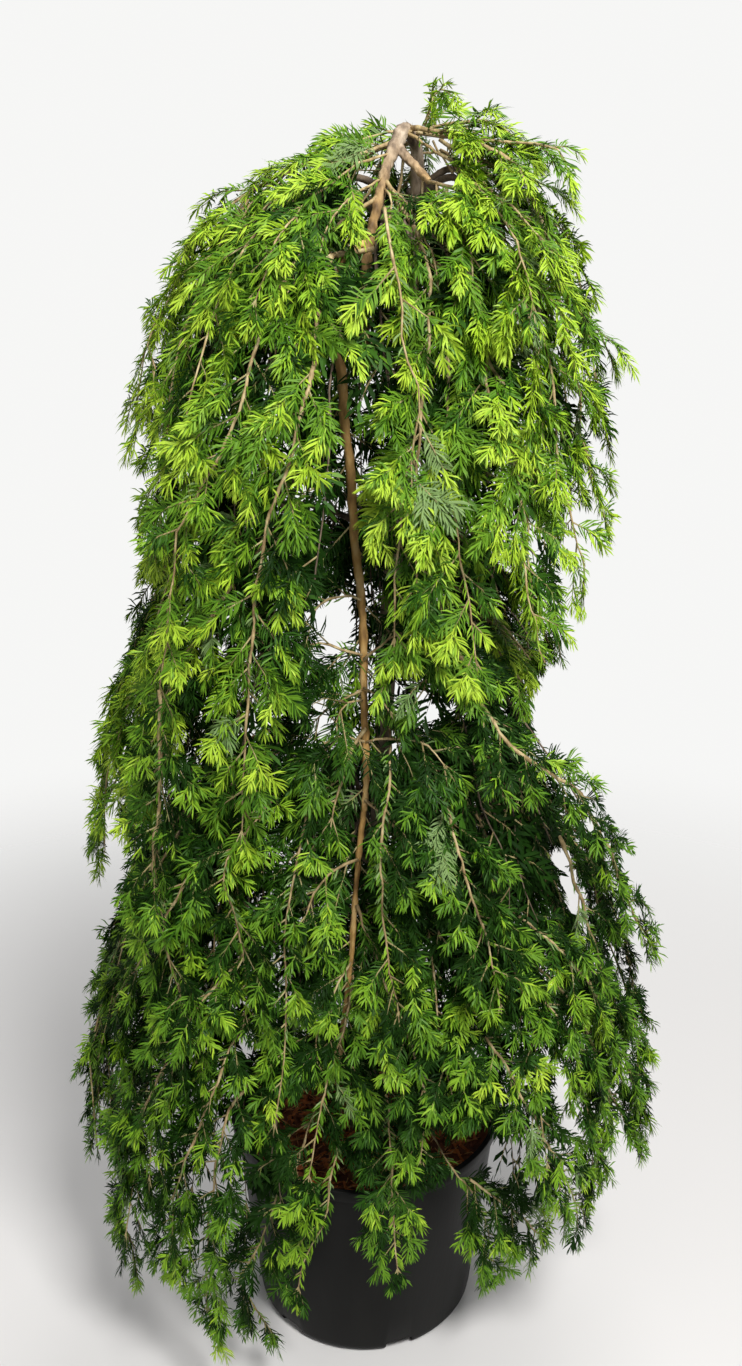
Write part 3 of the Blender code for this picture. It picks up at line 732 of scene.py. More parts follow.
# %% The crown's plan: three tiers
TIERS = (
    # tier, shoulder as (share of foot radius, share of fall), rows of
    # name, bearing from the front, head radius and height, foot radius and height, width, thickness
    ("upper", (0.84, 0.12), (
        ("upper_left", -82, 0.015, 1.176, 0.190, 0.925, 0.165, 0.080),
        ("upper_left_front", -50, 0.025, 1.168, 0.210, 0.800, 0.155, 0.080),
        ("upper_front_left", -22, 0.100, 1.120, 0.222, 0.640, 0.125, 0.065),
        ("upper_front", 2, 0.105, 1.085, 0.165, 0.940, 0.095, 0.050),
        ("upper_front_right", 23, 0.082, 1.165, 0.185, 0.770, 0.130, 0.070),
        ("upper_right_front", 52, 0.080, 1.178, 0.208, 0.750, 0.150, 0.080),
        ("upper_right", 84, 0.068, 1.182, 0.216, 0.870, 0.160, 0.085),
        ("upper_right_back", 118, 0.060, 1.176, 0.215, 0.790, 0.165, 0.085),
        ("upper_back_right", 152, 0.045, 1.178, 0.210, 0.820, 0.160, 0.080),
        ("upper_back_left", -172, 0.030, 1.172, 0.215, 0.760, 0.160, 0.080),
        ("upper_left_back", -127, 0.020, 1.174, 0.208, 0.840, 0.180, 0.085),
    )),
    ("middle", (0.74, 0.34), (
        ("middle_left", -80, 0.100, 0.960, 0.260, 0.520, 0.170, 0.085),
        ("middle_left_front", -50, 0.110, 0.930, 0.250, 0.500, 0.150, 0.085),
        ("middle_front_right", 24, 0.115, 0.800, 0.220, 0.460, 0.130, 0.075),
        ("middle_right_front", 52, 0.090, 0.815, 0.245, 0.480, 0.140, 0.080),
        ("middle_right", 82, 0.070, 0.800, 0.294, 0.465, 0.150, 0.080),
        ("middle_right_back", 118, 0.090, 0.870, 0.262, 0.480, 0.170, 0.085),
        ("middle_back_right", 155, 0.100, 0.920, 0.250, 0.440, 0.165, 0.085),
        ("middle_back_left", -165, 0.100, 0.890, 0.255, 0.470, 0.165, 0.085),
        ("middle_left_back", -122, 0.100, 0.930, 0.260, 0.430, 0.175, 0.085),
    )),
    ("lower", (0.84, 0.26), (
        ("lower_left", -84, 0.110, 0.640, 0.292, 0.120, 0.185, 0.095),
        ("lower_left_front", -54, 0.120, 0.630, 0.266, 0.120, 0.155, 0.095),
        ("lower_front_left", -33, 0.115, 0.680, 0.222, 0.110, 0.130, 0.080),
        ("lower_front", 3, 0.125, 0.640, 0.172, 0.145, 0.130, 0.065),
        ("lower_front_right", 28, 0.115, 0.620, 0.212, 0.195, 0.140, 0.080),
        ("lower_right_front", 55, 0.120, 0.630, 0.246, 0.140, 0.155, 0.090),
        ("lower_right", 82, 0.110, 0.620, 0.296, 0.190, 0.180, 0.090),
        ("lower_right_back", 116, 0.110, 0.640, 0.275, 0.140, 0.180, 0.095),
        ("lower_back_right", 150, 0.110, 0.630, 0.258, 0.160, 0.165, 0.090),
        ("lower_back_left", -172, 0.110, 0.620, 0.262, 0.120, 0.170, 0.090),
        ("lower_left_back", -130, 0.110, 0.640, 0.275, 0.170, 0.175, 0.095),
    )),
)


print("masses in the plan:", sum(len(rows) for _, _, rows in TIERS))


# %% The crown's plan: a curtain for each mass
def polar(bearing, radius, height):
    """A point at a bearing in degrees from the front, a radius from the pot's axis and a height."""
    angle = math.radians(bearing)
    return Vector((radius * math.sin(angle), -radius * math.cos(angle), height))


def bowed(start, bend, end, t):
    """A point at share t along the curve that leaves start towards bend and comes down to end."""
    return start * (1 - t) ** 2 + bend * 2 * t * (1 - t) + end * t * t


class Curtain:
    """The centre line, width and thickness of one mass; t goes from 0 at its head to 1 at its foot."""

    def __init__(self, tier, shoulder, row):
        self.name, self.bearing, head_r, head_z, foot_r, foot_z, self.width, self.thickness = row
        self.tier = tier
        self.head = polar(self.bearing, head_r, head_z)
        self.foot = polar(self.bearing, foot_r, foot_z)
        shoulder_z = head_z - shoulder[1] * (head_z - foot_z)
        self.shoulder = polar(self.bearing, foot_r * shoulder[0], shoulder_z)
        self.across = polar(self.bearing + 90.0, 1.0, 0.0)

    def centre(self, t):
        """The middle of the curtain at t."""
        return bowed(self.head, self.shoulder, self.foot, t)

    def along(self, t):
        """The way it hangs there."""
        return ((self.shoulder - self.head) * (1 - t) + (self.foot - self.shoulder) * t).normalized()

    def outward(self, t):
        """The way its outer side faces there."""
        return self.along(t).cross(self.across).normalized()


curtains = {row[0]: Curtain(tier, shoulder, row) for tier, shoulder, rows in TIERS for row in rows}
print("curtains:", len(curtains))

# %% [markdown]
# Boughs are the short strong limbs between the trunk and the curtains. Each leaves the trunk rising,
# then levels out, as a limb does that has to carry its own weight before it gives way and hangs.

# %% Boughs
BOUGH_HEIGHTS = {
    # the mass that a bough carries: how high up the trunk it leaves
    "upper_left": 1.14, "upper_left_front": 1.12, "upper_right_front": 1.135, "upper_right": 1.15,
    "upper_back_right": 1.13, "upper_left_back": 1.11, "middle_left": 0.86, "middle_right_front": 0.78,
    "middle_right": 0.74, "middle_back_right": 0.82, "middle_left_back": 0.84, "lower_left": 0.50,
    "lower_front_left": 0.52, "lower_front_right": 0.44, "lower_right": 0.48, "lower_back_right": 0.51,
    "lower_back_left": 0.49,
}
BOUGH_RISE = 0.035
BOUGH_REACH = 0.16
BOUGH_ROOT = 0.0040
BOUGH_TIP = 0.0022
BOUGH_KNOTS = 7
ARCH_STARTS = 12


def on_trunk(height):
    """The middle of the trunk at a height, below the arch."""
    rising = OLD_STEM[:ARCH_STARTS]
    for below, above in zip(rising, rising[1:]):
        if below[2] <= height <= above[2]:
            share = (height - below[2]) / (above[2] - below[2])
            return Vector(below[:3]).lerp(Vector(above[:3]), share)
    return Vector(rising[-1][:3])


limbs = []
for carried, height in BOUGH_HEIGHTS.items():
    start, end = on_trunk(height), curtains[carried].centre(BOUGH_REACH)
    bend = start.lerp(end, 0.5) + Vector((0.0, 0.0, BOUGH_RISE))
    knots = []
    for number in range(BOUGH_KNOTS):
        t = number / (BOUGH_KNOTS - 1)
        knots.append((*bowed(start, bend, end, t), BOUGH_ROOT + (BOUGH_TIP - BOUGH_ROOT) * t))
    name = f"bough_{carried}_bark"
    limbs.append(barked_limb(name, knots, (0.010, 0.0014), (0.003, 0.0008), resolution=3))
clear_selection()
for limb in limbs:
    limb.select_set(True)
bpy.context.view_layer.objects.active = limbs[0]
bpy.ops.object.join()
boughs = bpy.context.object
boughs.name = "boughs_bark"
# the boughs take the bark darkened as painted shade
finish_piece(boughs, inner_bark, ["bough_" + carried for carried in BOUGH_HEIGHTS])
print("boughs:", len(limbs), "limbs,", len(boughs.data.polygons), "faces")

# %% [markdown]
# A strand is a long thin stem that hangs from a bough or from the leader. The ones that lie on top
# at the front are listed one by one, through the points where they turn. The rest follow the
# curtains: an outer layer that catches the light and an inner layer behind it, whose needles and
# stems are darkened as painted shade.
# curtains: an outer layer that catches the light and an inner layer that stays dark behind it.

# %% Listed strands: where they turn
HAND_STRANDS = (
    # name, thickness at the start, points (x, y, z) in millimetres
    ("long_front_left", 0.0022, ((-25, -100, 1097), (-35, -146, 1046), (-43, -180, 992), (-56, -189, 948),
     (-76, -190, 886), (-88, -190, 814), (-98, -190, 711), (-104, -190, 632))),
    ("left_front", 0.0020, ((14, -64, 1148), (-51, -114, 1096), (-80, -144, 1038), (-96, -170, 981),
     (-111, -172, 951), (-130, -171, 916), (-148, -170, 883), (-155, -183, 829), (-167, -190, 755))),
    ("left_tip", 0.0018, ((32, -36, 1194), (-32, -60, 1168), (-87, -80, 1127), (-131, -80, 1069),
     (-160, -70, 1018), (-178, -63, 982))),
    ("front", 0.0021, ((18, -58, 1160), (46, -105, 1108), (54, -124, 1069), (52, -141, 1023),
     (47, -153, 985), (44, -161, 938), (40, -167, 883), (47, -170, 822))),
    ("front_right_a", 0.0016, ((51, -114, 1091), (74, -113, 1086), (89, -114, 1077), (100, -132, 1031),
     (100, -143, 995), (112, -147, 961), (124, -150, 925), (134, -151, 885), (140, -156, 831))),
    ("front_right_b", 0.0017, ((68, -82, 1151), (68, -124, 1061), (67, -149, 984), (67, -162, 926),
     (72, -165, 899), (79, -167, 863), (88, -168, 821), (94, -171, 775))),
    ("front_low_c", 0.0014, ((46, -155, 961), (32, -157, 922), (31, -162, 881), (27, -166, 838),
     (24, -168, 792))),
    ("right_far", 0.0022, ((39, -30, 1203), (85, -60, 1191), (124, -80, 1166), (149, -90, 1117),
     (168, -80, 1053), (185, -70, 981), (201, -60, 922), (216, -50, 882))),
    ("right_tip", 0.0017, ((65, -20, 1196), (121, -50, 1163), (156, -60, 1107), (185, -50, 1058),
     (210, -45, 1029))),
    ("right_mid", 0.0018, ((67, -4, 1190), (104, -78, 1149), (135, -112, 1085), (153, -129, 1007),
     (163, -133, 928), (176, -129, 877), (192, -118, 835))),
    ("right_waist", 0.0016, ((87, -110, 1062), (114, -146, 984), (128, -154, 905), (136, -163, 833),
     (153, -158, 772))),
    ("mid_left", 0.0018, ((-93, -160, 857), (-147, -150, 778), (-190, -120, 706), (-232, -80, 634),
     (-265, -50, 572))),
    ("mid_left_b", 0.0020, ((-167, -190, 755), (-172, -190, 658), (-180, -190, 584), (-171, -190, 506),
     (-161, -190, 458), (-147, -190, 380))),
    ("mid_front_left", 0.0015, ((-116, -190, 603), (-112, -190, 546), (-105, -190, 492),
     (-105, -190, 457))),
    ("mid_front", 0.0015, ((25, -148, 679), (15, -174, 605), (20, -189, 521), (30, -190, 457))),
    ("mid_right", 0.0026, ((90, -140, 760), (102, -145, 731), (123, -150, 698), (154, -150, 672),
     (188, -140, 647), (212, -125, 605), (238, -105, 550), (265, -80, 492), (284, -60, 455))),
    ("mid_right_b", 0.0019, ((67, -145, 659), (83, -182, 599), (102, -190, 546), (113, -190, 502),
     (121, -190, 463))),
    ("right_low_a", 0.0018, ((176, -140, 603), (203, -125, 527), (231, -100, 445), (259, -70, 361))),
    ("left_low_a", 0.0017, ((-150, -190, 584), (-206, -150, 484), (-252, -90, 399), (-281, -50, 339))),
    ("bottom_left_a", 0.0018, ((-141, -190, 467), (-190, -170, 371), (-235, -130, 263), (-249, -110, 174),
     (-239, -110, 112))),
    ("bottom_left_b", 0.0017, ((-122, -183, 412), (-156, -190, 320), (-167, -190, 296), (-181, -180, 237),
     (-190, -162, 158))),
    ("bottom_left_c", 0.0016, ((-122, -183, 348), (-140, -189, 276), (-150, -188, 195), (-156, -175, 117))),
    ("low_tip_left", 0.0015, ((-66, -159, 268), (-86, -158, 228), (-105, -156, 169), (-128, -145, 118),
     (-116, -150, 101), (-102, -156, 74))),
    ("pot_front_left", 0.0013, ((-28, -157, 273), (-41, -163, 207), (-60, -159, 157), (-65, -157, 125))),
    ("pot_front", 0.0014, ((15, -159, 396), (22, -163, 322), (27, -164, 232), (31, -162, 150))),
    ("pot_right", 0.0012, ((81, -144, 262), (105, -140, 218), (126, -135, 172), (124, -137, 122))),
    ("pot_right_b", 0.0012, ((104, -145, 240), (132, -135, 210), (162, -120, 173), (183, -100, 133))),
    ("bottom_right_a", 0.0016, ((124, -190, 406), (158, -188, 340), (187, -169, 271), (216, -136, 194))),
    ("bottom_right_b", 0.0016, ((179, -170, 434), (208, -150, 346), (227, -130, 277), (235, -120, 231))),
    ("bottom_right_c", 0.0016, ((191, -150, 443), (234, -120, 336), (269, -80, 262), (284, -70, 225))),
    ("right_low_tips", 0.0016, ((178, -160, 500), (231, -120, 413), (268, -80, 319), (286, -60, 269))),
    ("front_low_l", 0.0015, ((-13, -165, 452), (-31, -177, 387), (-43, -185, 328), (-51, -183, 277))),
    ("front_low_r", 0.0015, ((19, -169, 480), (42, -180, 420), (56, -181, 358), (53, -177, 289))),
    ("top_left_a", 0.0014, ((41, -34, 1200), (18, -30, 1199), (-11, -28, 1191), (-44, -33, 1177),
     (-77, -45, 1158), (-98, -62, 1137), (-112, -82, 1110))),
    ("top_left_b", 0.0012, ((24, -46, 1181), (1, -70, 1170), (-27, -90, 1151), (-53, -110, 1127),
     (-72, -128, 1097), (-84, -142, 1061))),
    ("top_left_c", 0.0011, ((17, -58, 1160), (-4, -82, 1148), (-25, -104, 1123), (-36, -120, 1090),
     (-42, -130, 1055))),
    ("top_left_d", 0.0012, ((40, -22, 1198), (-10, -4, 1190), (-56, 10, 1166), (-98, 14, 1134),
     (-129, 8, 1098), (-151, -4, 1060))),
    ("left_fork", 0.0026, ((8, -79, 1103), (-9, -90, 1100), (-24, -100, 1098), (-37, -111, 1086),
     (-46, -122, 1066), (-51, -130, 1034))),
    ("top_right_a", 0.0018, ((43, -21, 1201), (72, -30, 1207), (95, -38, 1206), (118, -46, 1199),
     (134, -52, 1188))),
    ("top_right_b", 0.0018, ((43, -24, 1201), (72, -46, 1195), (94, -62, 1188), (118, -74, 1185),
     (140, -80, 1185), (156, -82, 1180), (166, -80, 1164))),
    ("top_right_c", 0.0016, ((36, -33, 1199), (73, -68, 1172), (92, -96, 1149), (109, -118, 1125),
     (124, -134, 1094), (136, -146, 1059))),
    ("top_right_d", 0.0017, ((53, 0, 1206), (86, 24, 1204), (121, 36, 1191), (151, 36, 1165),
     (174, 28, 1128))),
    ("stub_spray", 0.0017, ((54, -70, 1156), (72, -84, 1149), (95, -100, 1144), (118, -114, 1133),
     (138, -126, 1109))),
    ("arch_spray_a", 0.0010, ((16, -61, 1154), (24, -82, 1141), (22, -100, 1118), (25, -112, 1094),
     (31, -122, 1065))),
    ("arch_spray_b", 0.0010, ((18, -59, 1158), (39, -85, 1131), (49, -105, 1110), (58, -118, 1086),
     (66, -128, 1055))),
    ("arch_spray_c", 0.0010, ((60, -76, 1153), (63, -95, 1135), (76, -112, 1119), (85, -124, 1095),
     (88, -132, 1067))),
    ("right_fill", 0.0012, ((73, -68, 1172), (105, -85, 1129), (119, -118, 1096), (130, -132, 1061),
     (137, -138, 1023), (143, -142, 980), (146, -146, 935))),
    ("left_fill", 0.0012, ((-41, -94, 1125), (-51, -110, 1100), (-60, -130, 1069), (-66, -145, 1034),
     (-69, -150, 996), (-75, -155, 953))),
    ("leader_twig_a", 0.0016, ((-7, -146, 538), (7, -158, 499), (19, -166, 478), (29, -172, 441))),
    ("leader_twig_b", 0.0014, ((-11, -150, 484), (-26, -160, 464), (-39, -168, 433), (-44, -174, 395))),
    ("behind_arch_a", 0.0014, ((35, 0, 1191), (30, -10, 1157), (27, -30, 1115), (29, -50, 1064))),
    ("behind_arch_b", 0.0014, ((48, 4, 1191), (53, -15, 1149), (49, -35, 1106), (44, -55, 1056))),
    ("behind_arch_c", 0.0014, ((27, 0, 1191), (4, -25, 1155), (-11, -50, 1113), (-16, -70, 1064))),
    ("window_j", 0.0013, ((-2, -138, 739), (-16, -134, 730), (-33, -130, 718), (-49, -128, 700))),
    ("window_k", 0.0013, ((1, -141, 693), (-16, -138, 697), (-33, -136, 692), (-47, -136, 678))),
    ("behind_arch_d", 0.0012, ((60, -12, 1196), (70, -30, 1178), (78, -48, 1155), (84, -66, 1125),
     (88, -84, 1090))),
    ("window_a", 0.0013, ((-1, -131, 769), (-19, -128, 774), (-40, -124, 778), (-58, -122, 771))),
    ("window_b", 0.0013, ((0, -131, 765), (19, -136, 783), (36, -142, 790), (55, -148, 783))),
    ("window_c", 0.0012, ((0, -133, 740), (12, -140, 736), (21, -146, 722))),
    ("window_d", 0.0012, ((-1, -134, 729), (-15, -140, 727), (-24, -146, 713))),
    ("window_e", 0.0018, ((2, -136, 704), (-11, -142, 680), (-20, -147, 658), (-29, -153, 626))),
    ("window_f", 0.0014, ((2, -136, 691), (26, -142, 699), (49, -150, 694), (68, -158, 677))),
    ("window_g", 0.0012, ((-2, -128, 817), (-18, -126, 820), (-36, -124, 813), (-48, -124, 797))),
    ("window_h", 0.0014, ((1, -139, 638), (18, -146, 626), (34, -154, 604), (43, -162, 571))),
    ("window_i", 0.0014, ((-5, -142, 581), (-23, -150, 577), (-41, -160, 565), (-52, -168, 539))),
    ("top_back_a", 0.0014, ((44, -12, 1190), (47, 20, 1196), (52, 58, 1184), (56, 96, 1160),
     (60, 132, 1124), (62, 160, 1080))),
    ("top_back_b", 0.0014, ((41, -16, 1194), (26, 18, 1193), (10, 56, 1180), (-4, 94, 1155),
     (-16, 130, 1118), (-24, 158, 1072))),
    ("top_back_c", 0.0013, ((46, -8, 1188), (70, 22, 1190), (100, 54, 1176), (126, 84, 1148),
     (146, 108, 1108))),
    ("top_back_d", 0.0013, ((40, -18, 1195), (10, 6, 1190), (-34, 36, 1172), (-74, 64, 1144),
     (-106, 88, 1104))),
    ("top_back_e", 0.0012, ((48, 50, 1186), (34, 82, 1168), (26, 116, 1138), (22, 148, 1098))),
    ("side_left", 0.0013, ((-56, 10, 1166), (-120, 26, 1110), (-166, 36, 1040), (-186, 42, 968),
     (-194, 46, 896), (-198, 50, 840))),
    ("side_left_b", 0.0012, ((-74, 64, 1144), (-120, 80, 1090), (-152, 92, 1020), (-168, 98, 946),
     (-176, 100, 880))),
    ("side_right", 0.0013, ((86, 24, 1204), (140, 40, 1140), (178, 50, 1060), (196, 56, 980),
     (204, 60, 900), (208, 62, 840))),
    ("top_sprig", 0.0015, ((52, -18, 1207), (55, -16, 1221), (59, -15, 1234), (66, -14, 1239),
     (74, -14, 1235))),
)
print("turning points:", sum(len(points) for _, _, points in HAND_STRANDS))

# %% Listed strands: a smooth route, and what a strand knows
STRAND_STEP = 0.010
LOOKS_UP = 0.28
CURVE_STEPS = 12


def smooth_route(knots):
    """A Catmull-Rom curve through the knots, as evenly spaced points one STRAND_STEP apart."""
    points = [np.array(knot, float) for knot in knots]
    points = [2 * points[0] - points[1]] + points + [2 * points[-1] - points[-2]]
    dense = []
    for a, b, c, d in zip(points, points[1:], points[2:], points[3:]):
        for t in np.linspace(0.0, 1.0, CURVE_STEPS, endpoint=False):
            dense.append(0.5 * (2 * b + (c - a) * t + (2 * a - 5 * b + 4 * c - d) * t**2
                                + (3 * b - a - 3 * c + d) * t**3))
    dense.append(points[-2])
    dense = np.array(dense)
    run = np.concatenate([[0.0], np.cumsum(np.linalg.norm(np.diff(dense, axis=0), axis=1))])
    count = max(3, int(round(run[-1] / STRAND_STEP)) + 1)
    places = np.linspace(0.0, run[-1], count)
    return np.stack([np.interp(places, run, dense[:, axis]) for axis in range(3)], 1)


class Strand:
    """A hanging stem: its points, thickness, layer and tier, and which ways it runs, faces and spreads."""

    def __init__(self, name, route, start_radius, layer, tier):
        self.name, self.route, self.start_radius = name, route, start_radius
        self.layer, self.tier = layer, tier
        self.tangent = unit(np.gradient(route, axis=0))
        radial = route.copy()
        radial[:, 2] = 0.0
        radial = unit(radial + 1e-6) + np.array((0.0, 0.0, LOOKS_UP))
        radial -= self.tangent * np.sum(radial * self.tangent, 1, keepdims=True)
        self.outward = unit(radial)
        self.across = np.cross(self.tangent, self.outward)
        self.length = float(np.sum(np.linalg.norm(np.diff(route, axis=0), axis=1)))

    def between(self, at):
        """The place at a number of steps along the route, and the point of the route before it."""
        index = np.asarray(at).astype(int)
        part = (at - index)[..., None]
        after = np.minimum(index + 1, len(self.route) - 1)
        return self.route[index] * (1 - part) + self.route[after] * part, index

    def cut_short(self, place):
        """Ends the stem at a distance along it, so that it doesn't hang on bare past its last twig."""
        steps = len(self.route) - 1
        kept = max(3, min(steps + 1, int(math.ceil(place / self.length * steps)) + 1))
        self.length *= (kept - 1) / steps
        self.route, self.tangent = self.route[:kept], self.tangent[:kept]
        self.outward, self.across = self.outward[:kept], self.across[:kept]


print("helpers ready: smooth routes and strands")

# %% Listed strands: lay them
WANDER = 0.0013
# Low strands start inside the crown, apart from these, which start on a stem that shows
JOINED = ("mid_left_b", "right_low_a", "leader_twig_a", "leader_twig_b", "pot_right_b")
INSIDE_BELOW = 1.0
INSIDE_SHARE = 0.55
INSIDE_RISE = 0.045
UPPER_ABOVE, MIDDLE_ABOVE = 0.80, 0.48
LEADER_HANGS = 6


def layer_of_hand(name):
    """The layer that a listed strand belongs to, from the first word of its name."""
    first_word = name.split("_")[0]
    return first_word if first_word in ("window", "behind") else "hand"


def tier_of_hand(name, height):
    """The tier that a listed strand belongs to, from its name or from how low it ends."""
    if name.startswith("top"):
        return "sprig" if name == "top_sprig" else "top"
    return "upper" if height > UPPER_ABOVE else "middle" if height > MIDDLE_ABOVE else "lower"


strands = []
from_inside = set()
for name, radius, points in HAND_STRANDS:
    points = tuple(tuple(value / 1000.0 for value in point) for point in points)
    x, y, z = points[0]
    if z < INSIDE_BELOW and name not in JOINED and not name.startswith("window"):
        points = ((x * INSIDE_SHARE, y * INSIDE_SHARE, z + INSIDE_RISE),) + points
        from_inside.add(name)
    route = smooth_route(points)
    wander = dice.normal(0.0, WANDER, route.shape)
    wander[1:-1] = (wander[:-2] + wander[1:-1] + wander[2:]) / 2.0
    wander[0] = 0.0
    tier = tier_of_hand(name, points[-1][2])
    strands.append(Strand(name, route + wander, radius, layer_of_hand(name), tier))
on_leader = smooth_route([knot[:3] for knot in LEADER[LEADER_HANGS:]])
strands.append(Strand("leader", on_leader, 0.0, "leader", "middle"))
print("hand-laid strands:", len(strands))

# %% [markdown]
# A plant is never an even hedge. The arch, the leader and a few strand stems lie on top of their
# foliage at the front, and below the skirt the mulch and the pot show between the sprays. Each such
# place is a point with an opening round it, and the branching rule leaves out whatever would stand
# before it.

# %% What stays in view at the front: the openings
BARE_STRANDS = {
    # a strand whose stem shows: half the width of the opening before it, and between which shares
    "front": (0.0036, 0.15, 0.80), "long_front_left": (0.0028, 0.25, 0.95),
    "left_front": (0.0022, 0.45, 1.00), "front_right_b": (0.0020, 0.35, 0.90),
    "front_low_c": (0.0020, 0.30, 0.90), "left_fork": (0.0046, 0.00, 0.38),
    "stub_spray": (0.0020, 0.00, 0.30),
}
BARE_STEMS = (
    # a stem that shows, its knots, half the width of the opening before it
    ("arch", OLD_STEM[ARCH_STARTS:19], 0.0078),
    ("stub", STUB, 0.0052),
    ("leader", LEADER[LEADER_HANGS:], 0.0058),
)
OPENINGS = {
    # what shows: where, in millimetres, and half the width of the opening in tenths of a millimetre;
    # the sky is seen through the whole crown
    "sky": ((82, 280, 1237, 97), (90, 280, 1208, 97), (13, 280, 1227, 68), (-2, 280, 1201, 77),
        (291, 280, 763, 145), (285, 280, 740, 126), (237, 280, 626, 154), (228, 280, 600, 154),
        (226, 280, 571, 135), (265, 280, 558, 107), (279, 280, 725, 116), (290, 280, 703, 116),
        (274, 280, 673, 107), (275, 280, 644, 107), (-27, 280, 728, 68), (-27, 280, 710, 78),
        (-26, 280, 692, 59), (-41, 280, 719, 78), (-56, 280, 710, 68), (-71, 280, 705, 59),
        (-39, 280, 698, 59), (-61, 280, 595, 68), (-59, 280, 574, 78), (-53, 280, 554, 59),
        (38, 280, 619, 68), (71, 280, 607, 78), (79, 280, 586, 87), (25, 280, 554, 78), (36, 280, 537, 68),
        (83, 280, 1237, 68), (93, 280, 1206, 68), (13, 280, 1228, 59), (-4, 280, 1200, 68),
        (162, 280, 1138, 49), (253, 280, 385, 97), (266, 280, 351, 87), (278, 280, 324, 97),
        (292, 280, 429, 59), (-222, 280, -85, 97), (-217, 280, -127, 107), (249, 280, 616, 126),
        (265, 280, 600, 116), (249, 280, 826, 97), (247, 280, 798, 87)),
    "pot_rim": ((-12, -152, 236, 86), (-32, -149, 240, 77), (-64, -138, 246, 77), (94, -119, 221, 77),
        (112, -102, 219, 77)),
    "mulch": ((-82, 7, 195, 110), (-69, -28, 195, 170), (-47, -60, 195, 190), (-22, -88, 195, 150),
        (77, -38, 195, 140), (99, -47, 195, 180), (122, -31, 195, 140)),
    "pot_wall": ((-17, -138, 184, 190), (-20, -132, 129, 250), (-28, -123, 67, 340), (37, -119, 48, 340),
        (78, -112, 161, 140), (79, -104, 103, 230), (90, -81, 21, 290)),
}
print("openings:", {what: len(rows) for what, rows in OPENINGS.items()})

# %% What stays in view at the front: a test for twigs and one for needles
WIDEST_OPENING = 0.036
# The share of an opening that needles keep out of too; elsewhere they may reach into it
CLEARED = {
    "sky": 0.80, "arch": 0.60, "stub": 0.55, "leader": 0.60, "mulch": 0.60, "pot_rim": 0.60, "pot_wall": 0.45,
    "front": 0.50, "long_front_left": 0.45, "left_fork": 0.60,
}
EYE = np.array(CAMERA_PLACE)
ARM = 1.1
NEARER = 0.002
TWIG_HALF = 0.0015


def sight(point):
    """Where a point is seen from the front: offsets sideways and up at arm's length, and how far it is."""
    ray = np.asarray(point) - EYE
    return ray[..., 0] / ray[..., 1] * ARM, ray[..., 2] / ray[..., 1] * ARM, ray[..., 1]


showing = []
for strand in strands:
    if strand.name in BARE_STRANDS:
        opening, first, last = BARE_STRANDS[strand.name]
        count = len(strand.route)
        stretch = strand.route[int(first * count):int(last * count)]
        showing += [(strand.name, point, opening) for point in stretch]
showing += [(name, point, opening) for name, knots, opening in BARE_STEMS
            for point in smooth_route([knot[:3] for knot in knots])]
showing += [(what, np.array(place) / 1000.0, tenths / 10000.0)
            for what, rows in OPENINGS.items() for *place, tenths in rows]
seen = [sight(point) for _, point, _ in showing]
view_finder = KDTree(len(seen))
for number, (aside, up, _) in enumerate(seen):
    view_finder.insert((aside, up, 0.0), number)
view_finder.balance()


def stands_before(point, own_name="", only=()):
    """Whether foliage at a point would cover something that shows at the front, other than its own stem."""
    aside, up, far = sight(point)
    for _, number, apart in view_finder.find_range((aside, up, 0.0), WIDEST_OPENING):
        name, _, opening = showing[number]
        if name != own_name and (not only or name in only):
            if apart < opening + TWIG_HALF and far < seen[number][2] - NEARER:
                return True
    return False


def crosses_opening(points):
    """For many needle points at once: whether each one crosses an opening that is kept wholly clear."""
    aside, up, far = sight(points)
    crossing = np.zeros(len(points), bool)
    for (name, _, opening), (seen_aside, seen_up, seen_far) in zip(showing, seen):
        clear = opening * CLEARED.get(name, 0.0)
        if clear:
            close = (aside - seen_aside) ** 2 + (up - seen_up) ** 2 < clear**2
            crossing |= close & (far < seen_far - NEARER)
    return crossing


print("kept in view:", len(showing), "points")

# %% [markdown]
# The other strands follow the curtains, side by side, and fan out below the bough that carries
# them. Each one ends where it would hang before something that shows, and an outer one is left out
# where listed strands already do its work.

# %% Strands that follow the curtains
STRAND_GAP = {"upper": 0.040, "middle": 0.035, "lower": 0.029}
LAYER_DEPTHS = {"outer": 0.26, "inner": -0.24}
CURTAIN_SPREAD = 0.86
CURTAIN_KNOTS = 7
SHORTEST_ROUTE = 5
FOOT_REACH = {"upper": 1.0, "middle": 1.0, "lower": 0.97}
CLOSE_TO_HAND = 0.030
STRAND_RADIUS = 0.0013
STRAND_MARGIN = (0.026, 0.026, 0.012)
STRAND_START = {"upper": (0.06, 0.18), "middle": (0.02, 0.08), "lower": (0.02, 0.08)}
ARCH_ROOM = 0.13
ARCH_BEARING = 60.0
ABOVE_RIM = 0.236
STRAND_PAST_POT = 0.153
STRAND_OFF_FLOOR = 0.012


def keep_in_place(points):
    """Holds points inside the frame's box, pushes those by the pot out past its rim, and lifts low ones."""
    points = np.clip(points, np.array(cad_low) + STRAND_MARGIN, np.array(cad_high) - STRAND_MARGIN)
    reach = np.hypot(points[:, 0], points[:, 1])
    low = (points[:, 2] < ABOVE_RIM) & (reach < STRAND_PAST_POT)
    push = np.where(low, STRAND_PAST_POT / np.maximum(reach, 1e-6), 1.0)
    points[:, :2] *= push[:, None]
    points[:, 2] = np.maximum(points[:, 2], STRAND_OFF_FLOOR)
    return points


laid = [point for strand in strands if strand.layer == "hand" for point in strand.route]
laid_finder = KDTree(len(laid))
for number, point in enumerate(laid):
    laid_finder.insert(point, number)
laid_finder.balance()


def beside_hand_strand(route):
    """Whether most of a route runs close to listed strands, which then do for the outer layer."""
    return np.mean([laid_finder.find(point)[2] < CLOSE_TO_HAND for point in route]) > 0.5


